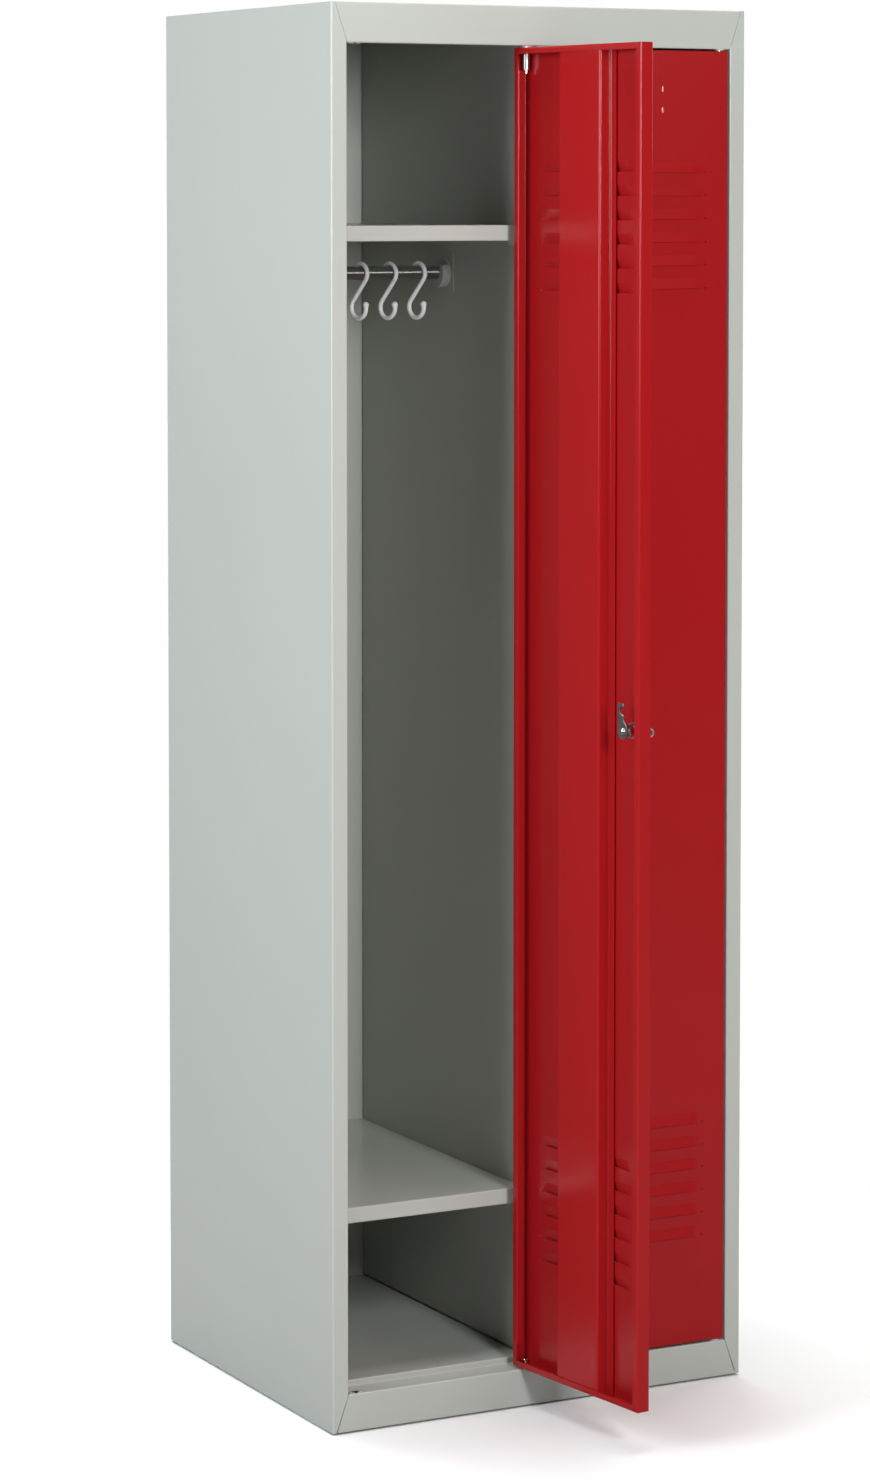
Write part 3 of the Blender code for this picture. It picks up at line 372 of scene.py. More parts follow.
# Centre partition
# A U-folded double wall, powder coated, whose front fold is the mullion between the doors. It is notched
# over the top ledge and the floor, and its right wall has a slot that the right door's cam turns into.
# A darker grey for the partition and the rail plates: painted shade, standing in for the dim light inside
# the compartments.
painted_shade_coat = powder_coat("inner grey powder coat", srgb(168, 171, 163), srgb(161, 164, 156),
                         roughness=0.34, sheen=0.4, relief=0.00006)
mid_low, mid_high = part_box("centre_partition")
slot_low, slot_high, slot_setback, slot_end, rear_seam = 0.8860, 0.9310, 0.0178, 0.0258, 0.0025
slot_near, slot_far = front + slot_setback, front + slot_end
heads = [mid_low.z, floor + rear_seam, slot_low, slot_high, height - rail_height - seat, mid_high.z]
stops = [slot_near, front + frame_return + seat, slot_far, shelf_front - seat]
rear_edge = mid_high.y - rear_seam
outline, _ = folded([(mid_low.x, rear_edge), *[(mid_low.x, y) for y in stops[::-1]],
                     (mid_low.x, front), (mid_high.x, front), *[(mid_high.x, y) for y in stops],
                     (mid_high.x, rear_edge)], bend)
rows = (np.array(heads) - heads[0]) / (heads[-1] - heads[0])
middle = (outline[1:] + outline[:-1])[:, None] / 2
level = (np.array(heads[1:]) + heads[:-1])[None] / 2
near, across = middle[..., 1], middle[..., 0]
notch = (near < stops[1]) & (level > heads[4]) | (near > stops[3]) & (level < heads[1])
keeper = (across > 0) & (near > slot_near) & (near < slot_far) & (level > slot_low) & (level < slot_high)
wall = shell(swept(outline, RIGHT, DEEP, UP, heads[0], heads[-1], rows), sheet, False, ~(notch | keeper))
piece("partition", [wall], painted_shade_coat, "grey_coat", "carcass", "centre_partition")

# Shelves
# Tray-folded sheets with a deep front lip that turns back underneath, and shallow lips on the other
# three edges. They rest on small angle clips on the walls.
front_lip, lip_hem, side_lip, corner_relief = 0.020, 0.010, 0.014, 0.004
tray_start, relief_start, join_run, join_shoulder = 2.009, 3.2, 0.0001, 0.00005
for word in ("left", "right"):
    for kind in ("hat", "shoe"):
        low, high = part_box(f"{word}_{kind}_shelf")
        outline, station = folded([(low.y + lip_hem, high.z - front_lip), (low.y, high.z - front_lip),
                                   (low.y, high.z), (high.y, high.z), (high.y, high.z - side_lip)], bend)
        inset = np.interp(station, [0, 1, 2, tray_start, 3, relief_start, 4],
                          [corner_relief, 0, 0, bend, bend, corner_relief, corner_relief])
        tray = shell(swept(outline, DEEP, UP, RIGHT, low.x + inset, high.x - inset), sheet, True)
        lips = []
        for edge, inward in ((low.x, 1), (high.x, -1)):
            outline, _ = folded([(edge + inward * (bend + join_run), high.z), (edge, high.z),
                                 (edge, high.z - side_lip)], bend, shoulder=join_shoulder)
            lips.append(shell(swept(outline, RIGHT, UP, DEEP, low.y + corner_relief, high.y - corner_relief),
                              sheet, inward > 0))
        piece(f"{word}_{kind}_tray", [tray, *lips], grey_coat, "grey_coat", "carcass",
              f"{word}_{kind}_shelf")
        for end in ("inner", "outer"):
            clip = frame["nodes"][f"{word}_{kind}_clip_{end}"].data
            clip.materials.clear()
            clip.materials.append(grey_coat)

# Hanging rails
# A chromed steel tube lies across each compartment. Each end drops into an open-topped plastic socket
# on a small steel plate on the wall.


def loft(rings, loop=False):
    """Solid through closed rings of points, one after another; flat ends, or joined last to first."""
    m, n = rings.shape[:2]
    number = np.arange(m * n).reshape(m, n)
    rows = np.concatenate([number, number[:1]]) if loop else number
    after = np.roll(rows, -1, axis=1)
    walls = np.stack([rows[:-1], after[:-1], after[1:], rows[1:]], axis=-1).reshape(-1, 4)
    ends = [] if loop else [number[:1, ::-1], number[-1:]]
    return rings.reshape(-1, 3), [walls, *ends]


def turned(profile, centre, axis, side, facets=40, loop=False):
    """Solid of a (radius, height) line turned about an axis.

    P(i, a) = centre + axis h(i) + r(i) (side cos a + (axis x side) sin a)
    """
    radius, rise = np.asarray(profile, float).T[:, :, None, None]
    angle = np.arange(facets)[:, None] * math.tau / facets
    spoke = side * np.cos(angle) + np.cross(axis, side) * np.sin(angle)
    return loft(np.asarray(centre) + axis * rise + radius * spoke, loop)


chrome = Finish("chrome", {"Metallic": 1.0})
spot = chrome.place()
haze = chrome.noise(spot, scale=45.0, detail=3.0)
scuff = chrome.noise(chrome.stretched(spot, 30.0, 900.0, 900.0), scale=1.0)
chrome.feed(Base_Color=chrome.blend(haze, srgb(214, 216, 219), srgb(228, 229, 231)),
            Roughness=0.03 + 0.06 * haze + 0.03 * scuff)
chrome.bump(scuff, 0.00002, strength=0.2)

drawn_chrome = Finish("drawn chrome", {"Metallic": 1.0, "Anisotropic": 0.92})
spot = drawn_chrome.place()
haze = drawn_chrome.noise(spot, scale=60.0, detail=3.0)
drawn_chrome.feed(Base_Color=drawn_chrome.blend(haze, srgb(150, 152, 150), srgb(168, 170, 168)),
                  Roughness=0.28 + 0.06 * haze)


def moulded(name, colour, deeper, roughness):
    """Moulded plastic: faint flow marks along the mould, and a fine matt grain."""
    plastic = Finish(name, {"Specular IOR Level": 0.5})
    place = plastic.place()
    flow = plastic.noise(plastic.stretched(place, 60.0, 60.0, 14.0), scale=1.0, detail=3.0)
    grain = plastic.noise(place, scale=1800.0)
    plastic.feed(Base_Color=plastic.blend(flow, deeper, colour),
                 Roughness=roughness + 0.14 * (flow - 0.5) + 0.12 * (grain - 0.5))
    plastic.bump(grain, 0.00005, strength=0.3)
    return plastic.material


grey_plastic = moulded("grey plastic", srgb(168, 170, 165), srgb(156, 158, 153), roughness=0.45)
white_plastic = moulded("white plastic", srgb(250, 250, 251), srgb(240, 240, 243), roughness=0.32)
socket_radius, socket_base, saddle_depth, saddle_arm = 0.020, 0.003, 0.009, 0.010
tube_wall, tube_edge, soft_edge, rose_bore = 0.0012, 0.0003, 0.0008, 0.004
saddle_draft, draft_level = 0.96, -0.25
for side, word in ((-1, "left"), (1, "right")):
    low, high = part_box(f"{word}_rail")
    rail_radius = (high.z - low.z) / 2
    axis_depth, axis_height = (low.y + high.y) / 2, (low.z + high.z) / 2
    length, bore = high.x - low.x, rail_radius - tube_wall
    profile = [(bore, 0), (rail_radius - tube_edge, 0), (rail_radius, tube_edge),
               (rail_radius, length - tube_edge), (rail_radius - tube_edge, length), (bore, length)]
    bar = turned(profile, (low.x, axis_depth, axis_height), RIGHT, DEEP, 64, True)
    piece(f"{word}_hanging_rail", [bar], drawn_chrome.material, "chrome", "carcass", f"{word}_rail")
    for end, inward in (("inner", side), ("outer", -side)):
        # The plate takes the darker grey of the partition, which is painted shade.
        plate = frame["nodes"][f"{word}_rail_plate_{end}"].data
        plate.materials.clear()
        plate.materials.append(painted_shade_coat)
        low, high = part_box(f"{word}_rail_socket_{end}")
        seat_face = low.x if inward > 0 else high.x
        centre = np.array([seat_face, axis_depth, axis_height])
        disc = [(rose_bore, 0), (socket_radius, 0), (socket_radius, socket_base - soft_edge),
                (socket_radius - soft_edge, socket_base), (rose_bore, socket_base)]
        rose = turned(disc, centre, RIGHT * inward, DEEP, 64)
        rise = math.asin(saddle_arm / socket_radius)
        slot = rail_radius + seat
        bottom = np.linspace(math.pi - rise, math.tau + rise, 49)
        inside = np.linspace(math.tau, math.pi, 33)
        cup = np.concatenate([np.stack([np.cos(bottom), np.sin(bottom)], 1) * socket_radius,
                              [[slot, saddle_arm]], np.stack([np.cos(inside), np.sin(inside)], 1) * slot,
                              [[-slot, saddle_arm]]])
        middle = draft_level * socket_radius
        levels = [(socket_base / 2, 1.0), (socket_base + saddle_depth - soft_edge, 1.0),
                  (socket_base + saddle_depth, saddle_draft)]
        rings = np.stack([centre + RIGHT * inward * deep + (cup[:, :1] * share) * DEEP
                          + (middle + (cup[:, 1:] - middle) * share) * UP for deep, share in levels])
        piece(f"{word}_socket_{end}", [rose, loft(rings)], grey_plastic, "grey_plastic", "carcass",
              f"{word}_rail_socket_{end}")

# Coat hooks
# Loose S-hooks moulded in white plastic hang on each rail. The upper bow tapers to a tip behind the
# rail, and the lower bow ends in a small ball.
hook_half, hook_yaw, hook_play = 0.003, math.radians(16), 0.0006
bow, bow_drop, bow_shift, ball = 0.014, 0.0447, 0.0032, 0.0043
tip_angle, ball_angle, tip_share, tip_points, neck_points = math.radians(166), math.radians(15), 0.2, 16, 5
upper_bow = rail_radius / math.cos(hook_yaw) + hook_half + hook_play
first = np.array([0, rail_radius + seat + hook_half - upper_bow])
second = first + [-bow_shift, -bow_drop]
heading = math.atan2(second[1] - first[1], second[0] - first[0])
leave = heading + math.acos((upper_bow + bow) / math.dist(first, second))
upper = np.linspace(tip_angle, leave, 40)
lower = np.linspace(leave - math.pi, ball_angle, 44)
line = np.concatenate([first + upper_bow * np.stack([np.cos(upper), np.sin(upper)], 1),
                       second + bow * np.stack([np.cos(lower), np.sin(lower)], 1)])
girth = np.full(len(line), hook_half)
swelling = np.sin(np.linspace(0, math.pi / 2, tip_points))
girth[:tip_points] = hook_half * (tip_share + (1 - tip_share) * swelling)
girth[-neck_points:] = hook_half + (ball - hook_half) * np.linspace(0, 1, neck_points) ** 2
swell = np.radians([20, 40, 58, 74, 86])
rise = np.array([-math.sin(lower[-1]), math.cos(lower[-1])])
line = np.concatenate([line, line[-1] + rise * ball * np.sin(swell)[:, None]])
girth = np.concatenate([girth, ball * np.cos(swell)])
tangent = np.gradient(line, axis=0)
tangent /= np.linalg.norm(tangent, axis=1, keepdims=True)
forward = np.array([math.sin(hook_yaw), -math.cos(hook_yaw), 0])
sideways = np.cross(forward, UP)
angle = np.arange(20)[None, :, None] * math.tau / 20
outward = (-tangent[:, 1:] * forward + tangent[:, :1] * UP)[:, None]
hook_rings = ((line[:, :1] * forward + line[:, 1:] * UP)[:, None]
              + girth[:, None, None] * (outward * np.cos(angle) + sideways * np.sin(angle)))
for word in ("left", "right"):
    for number in (1, 2, 3):
        spot = np.array(hinges[f"{word}_hook_{number}_swing"]["pos_m"])
        piece(f"{word}_coat_hook_{number}", [loft(spot + hook_rings)], white_plastic, "white_plastic",
              f"{word}_coat_hook_{number}", f"{word}_hook_{number}")

# Door pans
# Each door is a shallow pan of red powder-coated sheet: four walls, lips turned in on all sides, and a
# deeper return beside the pivots. Two groups of six louvres are lanced and pushed out of the skin.
red_coat = powder_coat("red powder coat", srgb(174, 26, 30), srgb(167, 23, 27),
                       roughness=0.20, sheen=0.42, relief=0.00002)
pan_low, pan_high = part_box("right_door_panel")
door_low, door_high, pan_depth, lip, end_lip = pan_low.z, pan_high.z, 0.019, 0.010, 0.008
hinge_return, hinge_notch, pivot_back = 0.009, 0.0290, 0.0065
louvre_first, louvre_last, louvre_taper, louvre_height, louvre_rise = 0.035, 0.230, 0.022, 0.0135, 0.0036
louvre_pitch, louvre_count, upper_drop, lower_rise = 0.030, 6, 0.1575, 0.1425
step = np.arange(louvre_count) * louvre_pitch
slits = np.sort(np.concatenate([door_low + lower_rise + step, door_high - upper_drop - step]))
corner_gap, skin_edge, nick_wide, nick_high = 0.0004, 0.008, 0.0018, 0.0014
corner_cut, left_open = 0.4 * skin_edge, math.radians(97)


def pan_walls():
    """The pan's four folded edges: return, lip, wall and skin edge at the hinge, and plainer ones elsewhere.

    Each is a bent line of (u, n) carried along z, or of (z, n) along u, with its ends trimmed to meet.
    """
    outline, station = folded([(lip, hinge_return), (lip, pan_depth), (0, pan_depth), (0, 0),
                               (skin_edge, 0)], bend)
    trim = np.interp(station, [0, 0.999, 1.001, 2, 3, 3.4, 4],
                     [hinge_notch, hinge_notch, end_lip, corner_gap, corner_gap, corner_cut, skin_edge])
    hinge_side = shell(swept(outline, RIGHT, DEEP, UP, door_low + trim, door_high - trim), sheet, False)
    outline, station = folded([(door_width - skin_edge, 0), (door_width, 0), (door_width, pan_depth),
                               (door_width - lip, pan_depth)], bend)
    trim = np.interp(station, [0, 0.6, 1, 2, 3],
                     [skin_edge, corner_cut, corner_gap, corner_gap, end_lip])
    free_side = shell(swept(outline, RIGHT, DEEP, UP, door_low + trim, door_high - trim), sheet, False)
    ends = []
    for edge, inward in ((door_low, 1), (door_high, -1)):
        outline, station = folded([(edge + inward * skin_edge, 0), (edge, 0), (edge, pan_depth),
                                   (edge + inward * end_lip, pan_depth)], bend)
        trim = np.interp(station, [0, 0.6, 1, 2, 3],
                         [skin_edge, corner_cut, corner_gap, corner_gap, lip])
        ends.append(shell(swept(outline, UP, DEEP, RIGHT, trim, door_width - trim), sheet, inward < 0))
    return [hinge_side, free_side, *ends]


def pan_skin():
    """Flat skin with a window and a nick for each louvre, and in each window a hood.

    The hood is n(u, v) = -rise (1 - v) e(u), where v runs up from the slit and e(u) eases from 0 to 1
    over the taper at both ends.
    """
    across = np.array([skin_edge, louvre_first - nick_wide, louvre_first, louvre_last,
                       door_width - skin_edge])
    levels = np.sort(np.concatenate([[door_low + skin_edge, door_high - skin_edge], slits, slits + nick_high,
                                     slits + louvre_height]))
    flat = np.stack(np.broadcast_arrays(across[:, None], 0.0, levels[None]), axis=-1)
    above = (levels[1:] + levels[:-1])[:, None] / 2 - slits
    nicked = ((above > 0) & (above < nick_high)).any(1)
    hooded = ((above > 0) & (above < louvre_height)).any(1)
    keep = ~np.stack([0 * hooded, nicked, hooded, 0 * hooded]).astype(bool)
    parts = [shell(flat, sheet, True, keep)]
    easing = np.linspace(0, 1, 9)
    ease = easing * easing * (3 - 2 * easing)
    along = np.concatenate([louvre_first + louvre_taper * easing, louvre_last - louvre_taper * easing[::-1]])
    bulge = np.concatenate([ease, ease[::-1]])
    share = np.linspace(0, 1, 7)
    fall = 1 - share
    for slit in slits:
        hood = np.stack(np.broadcast_arrays(along[:, None], -louvre_rise * bulge[:, None] * fall[None],
                                            slit + louvre_height * share[None]), axis=-1)
        parts.append(shell(hood, sheet, True))
    return parts


def hung(points, word):
    """A door's points (u from the hinge edge, n in from the skin, z) as it hangs at rest."""
    joint = np.array(hinges[f"{word}_door_hinge"]["pos_m"])
    swing = left_open if word == "left" else 0.0
    along = np.array([math.cos(swing), math.sin(swing), 0])
    deep = np.array([-math.sin(swing), math.cos(swing), 0])
    offset = points - [pivot_inset, pivot_back, 0]
    return joint * [1, 1, 0] - offset[..., :1] * along + offset[..., 1:2] * deep + offset[..., 2:] * UP


for word in ("left", "right"):
    pan = [(hung(points, word), faces) for points, faces in pan_walls() + pan_skin()]
    piece(f"{word}_door_pan", pan, red_coat, "red_coat", f"{word}_door", f"{word}_door_panel")

# Door stiffeners
# A full-height hat channel of the same sheet, with rounded folds. Its two flanges are spot-welded to the
# inside of each skin, and it is coated together with the door.
crown_clearance, channel_offset, channel_bend = 0.0007, 0.005, 0.0028
channel_face, channel_slope, channel_flange = 0.085, 0.002, 0.011
crown, foot_depth = pan_depth - sheet - crown_clearance, 2 * sheet + seat
channel_middle = door_width / 2 + channel_offset
near = channel_middle - channel_face / 2
far = channel_middle + channel_face / 2
edge = channel_slope + channel_flange
outline, _ = folded([(near - edge, foot_depth), (near - channel_slope, foot_depth), (near, crown),
                     (far, crown), (far + channel_slope, foot_depth), (far + edge, foot_depth)],
                    channel_bend)
channel = swept(outline, RIGHT, DEEP, UP, door_low + sheet + seat, door_high - sheet - seat)
for word in ("left", "right"):
    points, faces = shell(channel, sheet, True)
    piece(f"{word}_stiffener", [(hung(points, word), faces)], red_coat, "red_coat", f"{word}_door",
          f"{word}_door_stiffener")

# Pivots
# The upper pin slides in a plated barrel against a coil spring, so that the door can be lifted out.
# The lower pin is fixed. Both run in flanged plastic bushes in the frame's ledges.
zinc = Finish("zinc plate", {"Metallic": 1.0})
spot = zinc.place()
bloom = zinc.noise(spot, scale=160.0, detail=3.0, rough=0.6)
drawn = zinc.noise(zinc.stretched(spot, 1500.0, 1500.0, 90.0), scale=1.0)
zinc.feed(Base_Color=zinc.blend(bloom, srgb(158, 160, 160), srgb(186, 188, 188)),
          Roughness=0.2 + 0.14 * bloom + 0.08 * drawn)
zinc.bump(drawn, 0.00003, strength=0.25)
pin_radius, pin_chamfer, tail_radius, barrel_radius = 0.003, 0.001, 0.0013, 0.0045
pin_play, barrel_floor, spring_wire, spring_turns, collar = 0.0003, 0.002, 0.0004, 5, 0.008
rim_edge, collar_edge, bush_edge = 0.0004, 0.0005, 0.0003
bush_flange, bush_bore, bush_neck, bush_rim = 0.006, 0.0033, 0.0041, 0.001
for word in ("left", "right"):
    axis_point = np.array(hinges[f"{word}_door_hinge"]["pos_m"]) * [1, 1, 0]
    low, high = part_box(f"{word}_pin_barrel")
    bore, tail_bore = pin_radius + pin_play, tail_radius + pin_play
    barrel = [(bore, high.z), (bore, low.z + barrel_floor), (tail_bore, low.z + barrel_floor),
              (tail_bore, low.z), (barrel_radius - rim_edge, low.z), (barrel_radius, low.z + rim_edge),
              (barrel_radius, high.z - rim_edge), (barrel_radius - rim_edge, high.z)]
    piece(f"{word}_barrel", [turned(barrel, axis_point, UP, RIGHT, 40, True)], zinc.material, "zinc",
          f"{word}_door", f"{word}_pin_barrel")
    tail, tip = (corner.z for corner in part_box(f"{word}_upper_pin"))
    spring_low, spring_high = (corner.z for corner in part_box(f"{word}_pin_spring"))
    shoulder = spring_high + seat
    pin = [(tail_radius - rim_edge, tail), (tail_radius, tail + rim_edge), (tail_radius, shoulder),
           (pin_radius, shoulder), (pin_radius, tip - pin_chamfer), (pin_radius - pin_chamfer, tip)]
    piece(f"{word}_sliding_pin", [turned(pin, axis_point, UP, RIGHT, 32)], chrome.material, "chrome",
          f"{word}_plunger", f"{word}_upper_pin")
    coil = (bore + tail_radius) / 2
    turn = np.linspace(0, spring_turns * math.tau, spring_turns * 24)
    climb = np.linspace(spring_low + spring_wire, spring_high - spring_wire, len(turn))
    radial = np.stack([np.cos(turn), np.sin(turn), 0 * turn], 1)
    angle = np.arange(8)[None, :, None] * math.tau / 8
    wire = (axis_point + radial * coil + climb[:, None] * UP)[:, None]
    wire = wire + spring_wire * (radial[:, None] * np.cos(angle) + UP * np.sin(angle))
    spring = piece(f"{word}_spring", [loft(wire)], zinc.material, "zinc", f"{word}_door",
                   f"{word}_pin_spring")
    travel = -hinges[f"{word}_upper_pin_slide"]["range_m"][0]
    1 - travel / (spring_high - spring_low)
    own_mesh(spring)
    low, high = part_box(f"{word}_lower_pin")
    fixed = [(pin_radius - pin_chamfer, low.z), (pin_radius, low.z + pin_chamfer),
             (pin_radius, high.z - collar), (barrel_radius, high.z - collar),
             (barrel_radius, high.z - collar_edge), (barrel_radius - collar_edge, high.z)]
    piece(f"{word}_fixed_pin", [turned(fixed, axis_point, UP, RIGHT, 32)], chrome.material, "chrome",
          f"{word}_door", f"{word}_lower_pin")
    for place, way in (("upper", -1), ("lower", 1)):
        low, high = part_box(f"{word}_{place}_bush")
        length = high.z - low.z
        sleeve = [(bush_bore, 0), (bush_bore, length), (bush_neck, length), (bush_neck, bush_rim),
                  (bush_flange, bush_rim), (bush_flange, bush_edge), (bush_flange - bush_edge, 0)]
        rim = low.z if way < 0 else high.z
        piece(f"{word}_{place}_sleeve", [turned(sleeve, axis_point + UP * rim, UP * -way, RIGHT, 40, True)],
              white_plastic, "white_plastic", "carcass", f"{word}_{place}_bush")

# Turning hasp locks
# A chromed housing with a rosette is clamped through the skin by a hexagon nut. The hasp outside takes a
# padlock through its lug, and turns a spindle with a hook-shaped cam screwed to its inner end.
cast = Finish("cast zinc", {"Metallic": 0.4})
spot = cast.place()
cloud = cast.noise(spot, scale=300.0, detail=3.0)
cast.feed(Base_Color=cast.blend(cloud, srgb(158, 156, 154), srgb(184, 182, 180)),
          Roughness=0.26 + 0.16 * cloud)
cast.bump(cloud, 0.00003, strength=0.2)
lock_inset = 0.030
lock_spot = np.array([door_width - lock_inset, 0.0, hinges["right_latch_turn"]["pos_m"][2]])
spindle, housing_radius, housing_length, rosette, rosette_thick = 0.004, 0.0078, 0.015, 0.014, 0.0025
nut_flats, nut_thick, hub, hub_thick = 0.0195, 0.005, 0.008, 0.004
lug_reach, lug_height, lug_drop, lug_thick, eye_radius = 0.0265, 0.0112, 0.0045, 0.004, 0.0034
cam_clearance, cam_thick, cam_size, cam_round = 0.0013, 0.002, 0.00096, 10.3
screw_shank, screw_head, screw_rise, screw_deep = 0.002, 0.0050, 0.0025, 0.004
spindle_play, housing_edge = 0.0003, 0.0007
rosette_crown, rosette_slope, rosette_step, rosette_rim = 0.0022, 0.0007, 0.0018, 0.0006
cam_place, housing_bore = pan_depth + cam_clearance, spindle + spindle_play
housing = [(housing_bore, seat + rosette_thick), (rosette - rosette_crown, seat + rosette_thick),
           (rosette - rosette_slope, seat + rosette_step), (rosette, seat + rosette_rim), (rosette, seat),
           (housing_radius, seat), (housing_radius, housing_edge - housing_length),
           (housing_radius - housing_edge, -housing_length), (housing_bore, -housing_length)]
housing = turned(housing, lock_spot, -DEEP, RIGHT, 48, True)
nut_points, nut_edge, corner_rise = 72, 0.0008, 0.0009
angle = np.arange(nut_points) * math.tau / nut_points
hexagon = nut_flats / 2 / np.cos(np.mod(angle, math.pi / 3) - math.pi / 6)
round_off = np.minimum(hexagon, nut_flats / 2 + corner_rise)
ring = np.stack([np.cos(angle), 0 * angle, np.sin(angle)], 1)
thread, nut_seat = housing_radius + seat, sheet + seat
nut_face = nut_seat + nut_thick
levels = [(thread, nut_seat), (round_off, nut_seat), (hexagon, nut_seat + nut_edge),
          (hexagon, nut_face - nut_edge), (round_off, nut_face), (thread, nut_face)]
nut = loft(np.stack([lock_spot + ring * np.broadcast_to(reach, nut_points)[:, None] + DEEP * deep
                     for reach, deep in levels]), True)
hub_face, knob_side, knob_step, knob_crown, knob_pit = 2 * seat + rosette_thick, 0.0005, 0.0022, 0.002, 0.001
knob = [(spindle, seat - cam_place), (spindle, hub_face), (hub, hub_face),
        (hub - knob_side, hub_face + knob_step), (hub - knob_crown, hub_face + hub_thick),
        (knob_pit, hub_face + hub_thick)]
knob = turned(knob, lock_spot, -DEEP, RIGHT, 40)
lug_edge, lug_flat, eye_edge, eye_flat, tiny = 0.0006, 0.7, 0.0004, 0.8, 1e-9
eye = lug_reach - lug_height / 2
root = hub_face + hub_thick / 2
angle = np.linspace(0, math.tau, 64, endpoint=False)
edge = np.where(np.sin(angle) >= 0, lug_height / 2,
                np.minimum(lug_height / 2 / np.maximum(abs(np.cos(angle)), tiny),
                           (eye - root) / np.maximum(abs(np.sin(angle)), tiny)))
levels = [(edge - lug_edge, -1.0), (edge, -lug_flat), (edge, lug_flat), (edge - lug_edge, 1.0),
          (eye_radius + eye_edge, 1.0), (eye_radius, eye_flat), (eye_radius, -eye_flat),
          (eye_radius + eye_edge, -1.0)]
lug = loft(np.stack([lock_spot - UP * lug_drop - DEEP * (eye + np.sin(angle) * reach)[:, None]
                     + UP * (np.cos(angle) * reach)[:, None] + RIGHT * lug_thick / 2 * share
                     for reach, share in levels]), True)
bottom = np.linspace(math.pi, math.tau, 25)
cam_line = np.concatenate([np.stack([np.cos(bottom), np.sin(bottom)], 1) * cam_round,
                           [[cam_round, 3.0], [9.9, 5.8], [8.2, 8.6], [5.0, 11.8], [3.1, 14.0],
                            [2.5, 16.5], [2.5, 19.2], [1.6, 21.2], [-3.9, 23.6], [-5.1, 25.2],
                            [-5.1, 31.0], [-4.2, 32.2], [-1.0, 32.4], [1.0, 31.4], [2.2, 30.1],
                            [3.1, 30.6], [3.1, 33.6], [1.6, 36.0], [-1.0, 37.0], [-6.4, 37.0],
                            [-9.0, 36.2], [-cam_round, 33.8]]]) * cam_size
drawn_in = np.roll(cam_line, -1, axis=0) - np.roll(cam_line, 1, axis=0)
drawn_in = np.stack([-drawn_in[:, 1], drawn_in[:, 0]], 1) / np.linalg.norm(drawn_in, axis=1, keepdims=True)
cam_edge, bevel_deep, bevel_wide = 0.0003, 0.0006, 0.0007
levels = [(0.0, cam_edge), (cam_edge, 0.0), (cam_thick - bevel_deep, 0.0), (cam_thick, bevel_wide)]
cam_plane = np.stack([RIGHT, UP])
cam = loft(np.stack([lock_spot + DEEP * (cam_place + deep) + (cam_line + drawn_in * inset) @ cam_plane
                     for deep, inset in levels]))
dome = np.radians([0, 18, 36, 54, 72, 84])
screw_seat = cam_place + cam_thick + seat
head = [(screw_shank, cam_place - screw_deep), (screw_shank, screw_seat),
        *zip(screw_head * np.cos(dome), screw_seat + screw_rise * np.sin(dome))]
screw = turned(head, lock_spot, DEEP, RIGHT, 40)
for word in ("left", "right"):
    for name, parts, finish, slot, body, node in (
            ("housing", [housing], chrome.material, "chrome", "door", "lock_housing"),
            ("housing_nut", [nut], cast.material, "zinc", "door", "lock_nut"),
            ("hasp", [knob, lug], cast.material, "chrome", "latch", "hasp_knob"),
            ("cam", [cam], zinc.material, "zinc", "latch", "lock_cam"),
            ("screw", [screw], chrome.material, "zinc", "latch", "cam_screw")):
        placed = [(hung(points, word), faces) for points, faces in parts]
        piece(f"{word}_{name}", placed, finish, slot, f"{word}_{body}", f"{word}_{node}")

# Card clips
# Small tabs are lanced out of each skin near its top, to hold a name card. Each of the four corners has a
# tall and a short prong that curl towards the card's middle, and a thin rib joins the two of each end.
card_half, card_low, card_high, tab_sheet, rib_sheet = 0.0340, 1.6705, 1.6975, 0.0003, 0.0001
prongs = ((0, 1.0, 0.0034), (0.0027, 0.7, 0.0014))
rib_start, rib_size, rib_gap = [0.0045, 0], [0.35, 0.4], 0.004
tongue = np.array([[0, 0], [0.0002, -0.0012], [0.0014, -0.0008], [0.0017, 0]])
for word in ("left", "right"):
    tabs = []
    for inward in (1, -1):
        edge = door_width / 2 - inward * card_half
        for level in (card_low, card_high):
            for start, reach, tall in prongs:
                strip = swept((tongue * reach + [start, 0]) * [inward, 1] + [edge, 0], RIGHT, DEEP, UP,
                              level - tall, level + tall)
                tabs.append(shell(strip, tab_sheet, inward < 0))
        rib = (tongue * rib_size + rib_start) * [inward, 1] + [edge, 0]
        rib = swept(rib, RIGHT, DEEP, UP, card_low + rib_gap, card_high - rib_gap)
        tabs.append(shell(rib, rib_sheet, inward < 0))
    piece(f"{word}_card_tabs", [(hung(points, word), faces) for points, faces in tabs], red_coat, "red_coat",
          f"{word}_door")

# Floor and studio
# A pale floor with the locker's own shadow runs out to white. Soft lights stand at the left, nearly in
# line with the locker's front, and in front; weaker ones fill in, and a large one hangs high overhead.
floor_half = 30.0
span = [(-floor_half, -floor_half, 0), (floor_half, -floor_half, 0),
        (floor_half, floor_half, 0), (-floor_half, floor_half, 0)]
ground = bpy.data.meshes.new("studio floor")
ground.from_pydata(span, [], [(0, 1, 2, 3)])
stage_floor = bpy.data.objects.new("studio_floor", ground)
bpy.context.scene.collection.objects.link(stage_floor)
paper = Finish("studio paper", {"Roughness": 0.9, "Specular IOR Level": 0.0})
path = paper.tree.nodes.new("ShaderNodeLightPath").outputs
seen = Term(paper, path["Is Camera Ray"])
mirrored = Term(paper, path["Is Glossy Ray"])
black, white = (0, 0, 0, 1), (1, 1, 1, 1)
seen_tone, bounce_tone, mirror_tone = (0.91, 0.91, 0.91, 1), (0.56, 0.56, 0.56, 1), (0.12, 0.12, 0.12, 1)
unseen = paper.blend(mirrored, bounce_tone, mirror_tone)
paper.feed(Base_Color=paper.blend(seen, unseen, seen_tone))
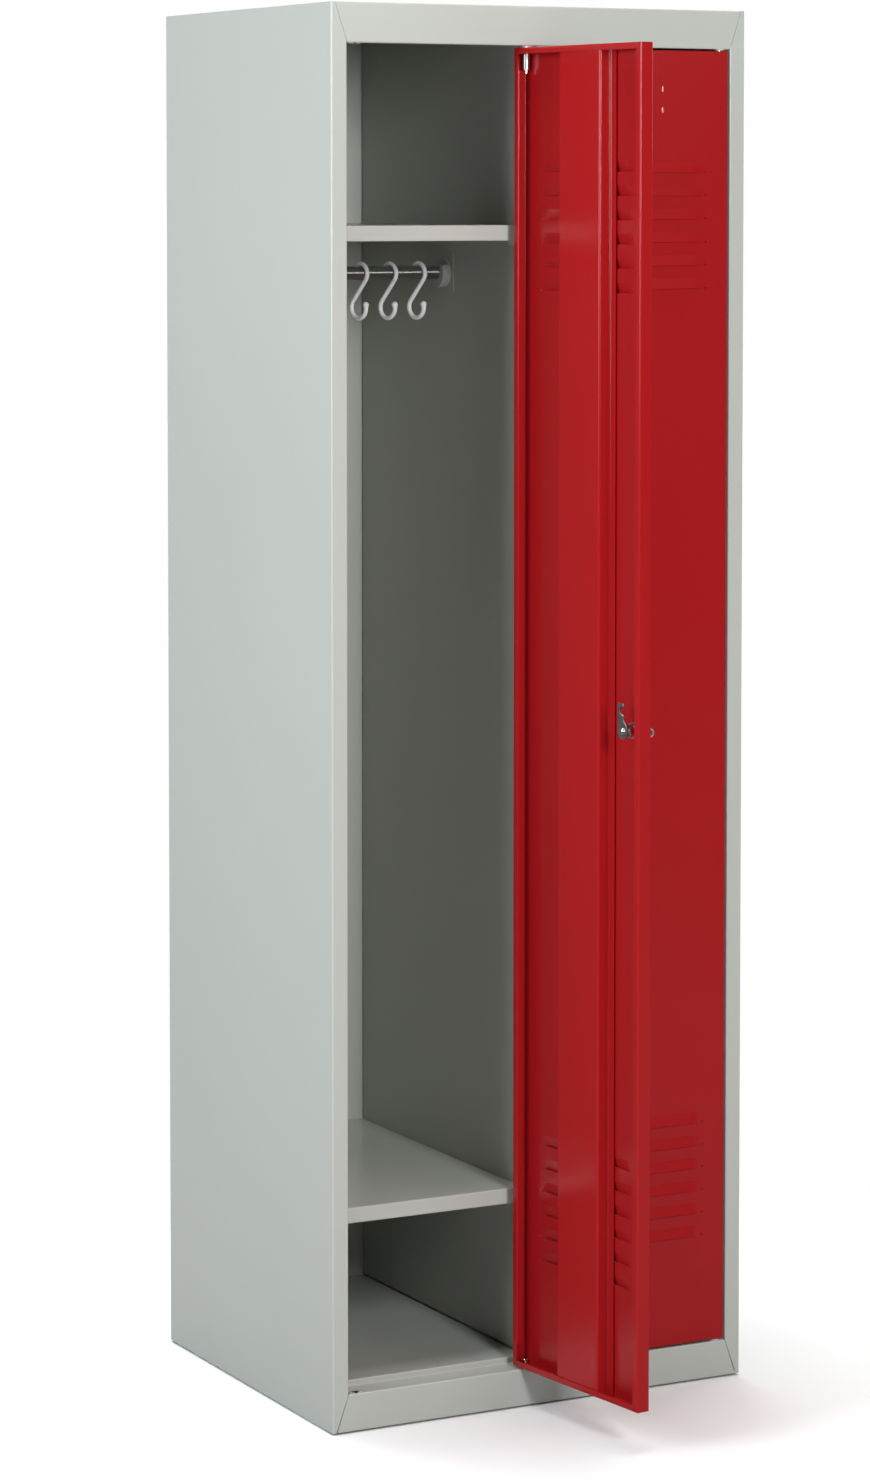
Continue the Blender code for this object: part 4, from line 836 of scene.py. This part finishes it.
level_place = paper.stretched(paper.place(), 1, 1, 0)
away = paper.node("ShaderNodeVectorMath", {"operation": "LENGTH"}, {0: level_place}, "Value")
fade = paper.ramp(0.25 * away, (0.125, black), (0.30, white))
glow = paper.tree.nodes.new("ShaderNodeEmission")
glow.inputs["Color"].default_value = white
mix = paper.tree.nodes.new("ShaderNodeMixShader")
paper.join(seen * fade, mix.inputs[0])
paper.tree.links.new(paper.shader.outputs[0], mix.inputs[1])
paper.tree.links.new(glow.outputs[0], mix.inputs[2])
paper.tree.links.new(mix.outputs[0], paper.tree.nodes["Material Output"].inputs["Surface"])
ground.materials.append(paper.material)

mirrored_glow = 0.06
world = bpy.data.worlds.new("studio")
bpy.context.scene.world = world
world.use_nodes = True
tree = world.node_tree
backdrop = tree.nodes["Background"]
backdrop.inputs["Color"].default_value = white
rays = tree.nodes.new("ShaderNodeLightPath").outputs
both = tree.nodes.new("ShaderNodeMath")
both.operation = "MAXIMUM"
tree.links.new(rays["Is Camera Ray"], both.inputs[0])
tree.links.new(rays["Is Transmission Ray"], both.inputs[1])
faint = tree.nodes.new("ShaderNodeMath")
faint.operation = "MULTIPLY_ADD"
tree.links.new(rays["Is Glossy Ray"], faint.inputs[0])
faint.inputs[1].default_value = mirrored_glow
tree.links.new(both.outputs[0], faint.inputs[2])
tree.links.new(faint.outputs[0], backdrop.inputs["Strength"])


def lamp(name, place, target, size, watts, colour):
    """Rectangular soft light at a place, turned to a target."""
    light = bpy.data.lights.new(name, "AREA")
    light.shape = "RECTANGLE"
    light.size, light.size_y = size
    light.energy, light.color = watts, colour
    made = bpy.data.objects.new(name, light)
    made.location = place
    aim = np.array(target, float) - place
    tilt, turn = math.acos(-aim[2] / np.linalg.norm(aim)), math.atan2(aim[1], aim[0])
    made.rotation_euler = (tilt, 0, turn - math.pi / 2)
    bpy.context.scene.collection.objects.link(made)


cool, neutral, warm = (0.925, 0.96, 1.0), (1.0, 1.0, 1.0), (1.0, 1.0, 0.99)
lamp("left softbox", (-2.7, -0.35, 2.05), (0, -0.1, 1.3), (1.2, 1.6), 52, cool)
lamp("left rear softbox", (-3.3, 0.9, 2.0), (0, 0.0, 1.3), (1.2, 1.8), 9, cool)
lamp("front softbox", (-0.34, -3.4, 2.06), (0, 0.0, 1.2), (0.6, 1.05), 64, warm)
lamp("front fill", (1.7, -4.6, 2.75), (0, 0.0, 1.3), (1.2, 1.6), 24, warm)
lamp("right rear fill", (3.0, 1.2, 2.4), (0, 0.0, 1.2), (1.0, 1.6), 20, neutral)
lamp("overhead softbox", (0.0, 2.27, 12.0), (0, 2.27, 0), (10.4, 7.7), 1740, neutral)

camera = bpy.data.cameras.new("camera")
camera.lens, camera.sensor_width, camera.shift_y = 102.70, 36.0, -0.2
camera.clip_start, camera.clip_end = 0.1, 100.0
viewer = bpy.data.objects.new("camera", camera)
viewer.location = (-2.6223, -4.8300, 1.5596)
tilt_down, heading = 3.362, -27.679
viewer.rotation_euler = (math.radians(90 - tilt_down), 0, math.radians(heading))
bpy.context.scene.collection.objects.link(viewer)
bpy.context.scene.camera = viewer
bpy.context.scene.view_settings.view_transform = "Standard"
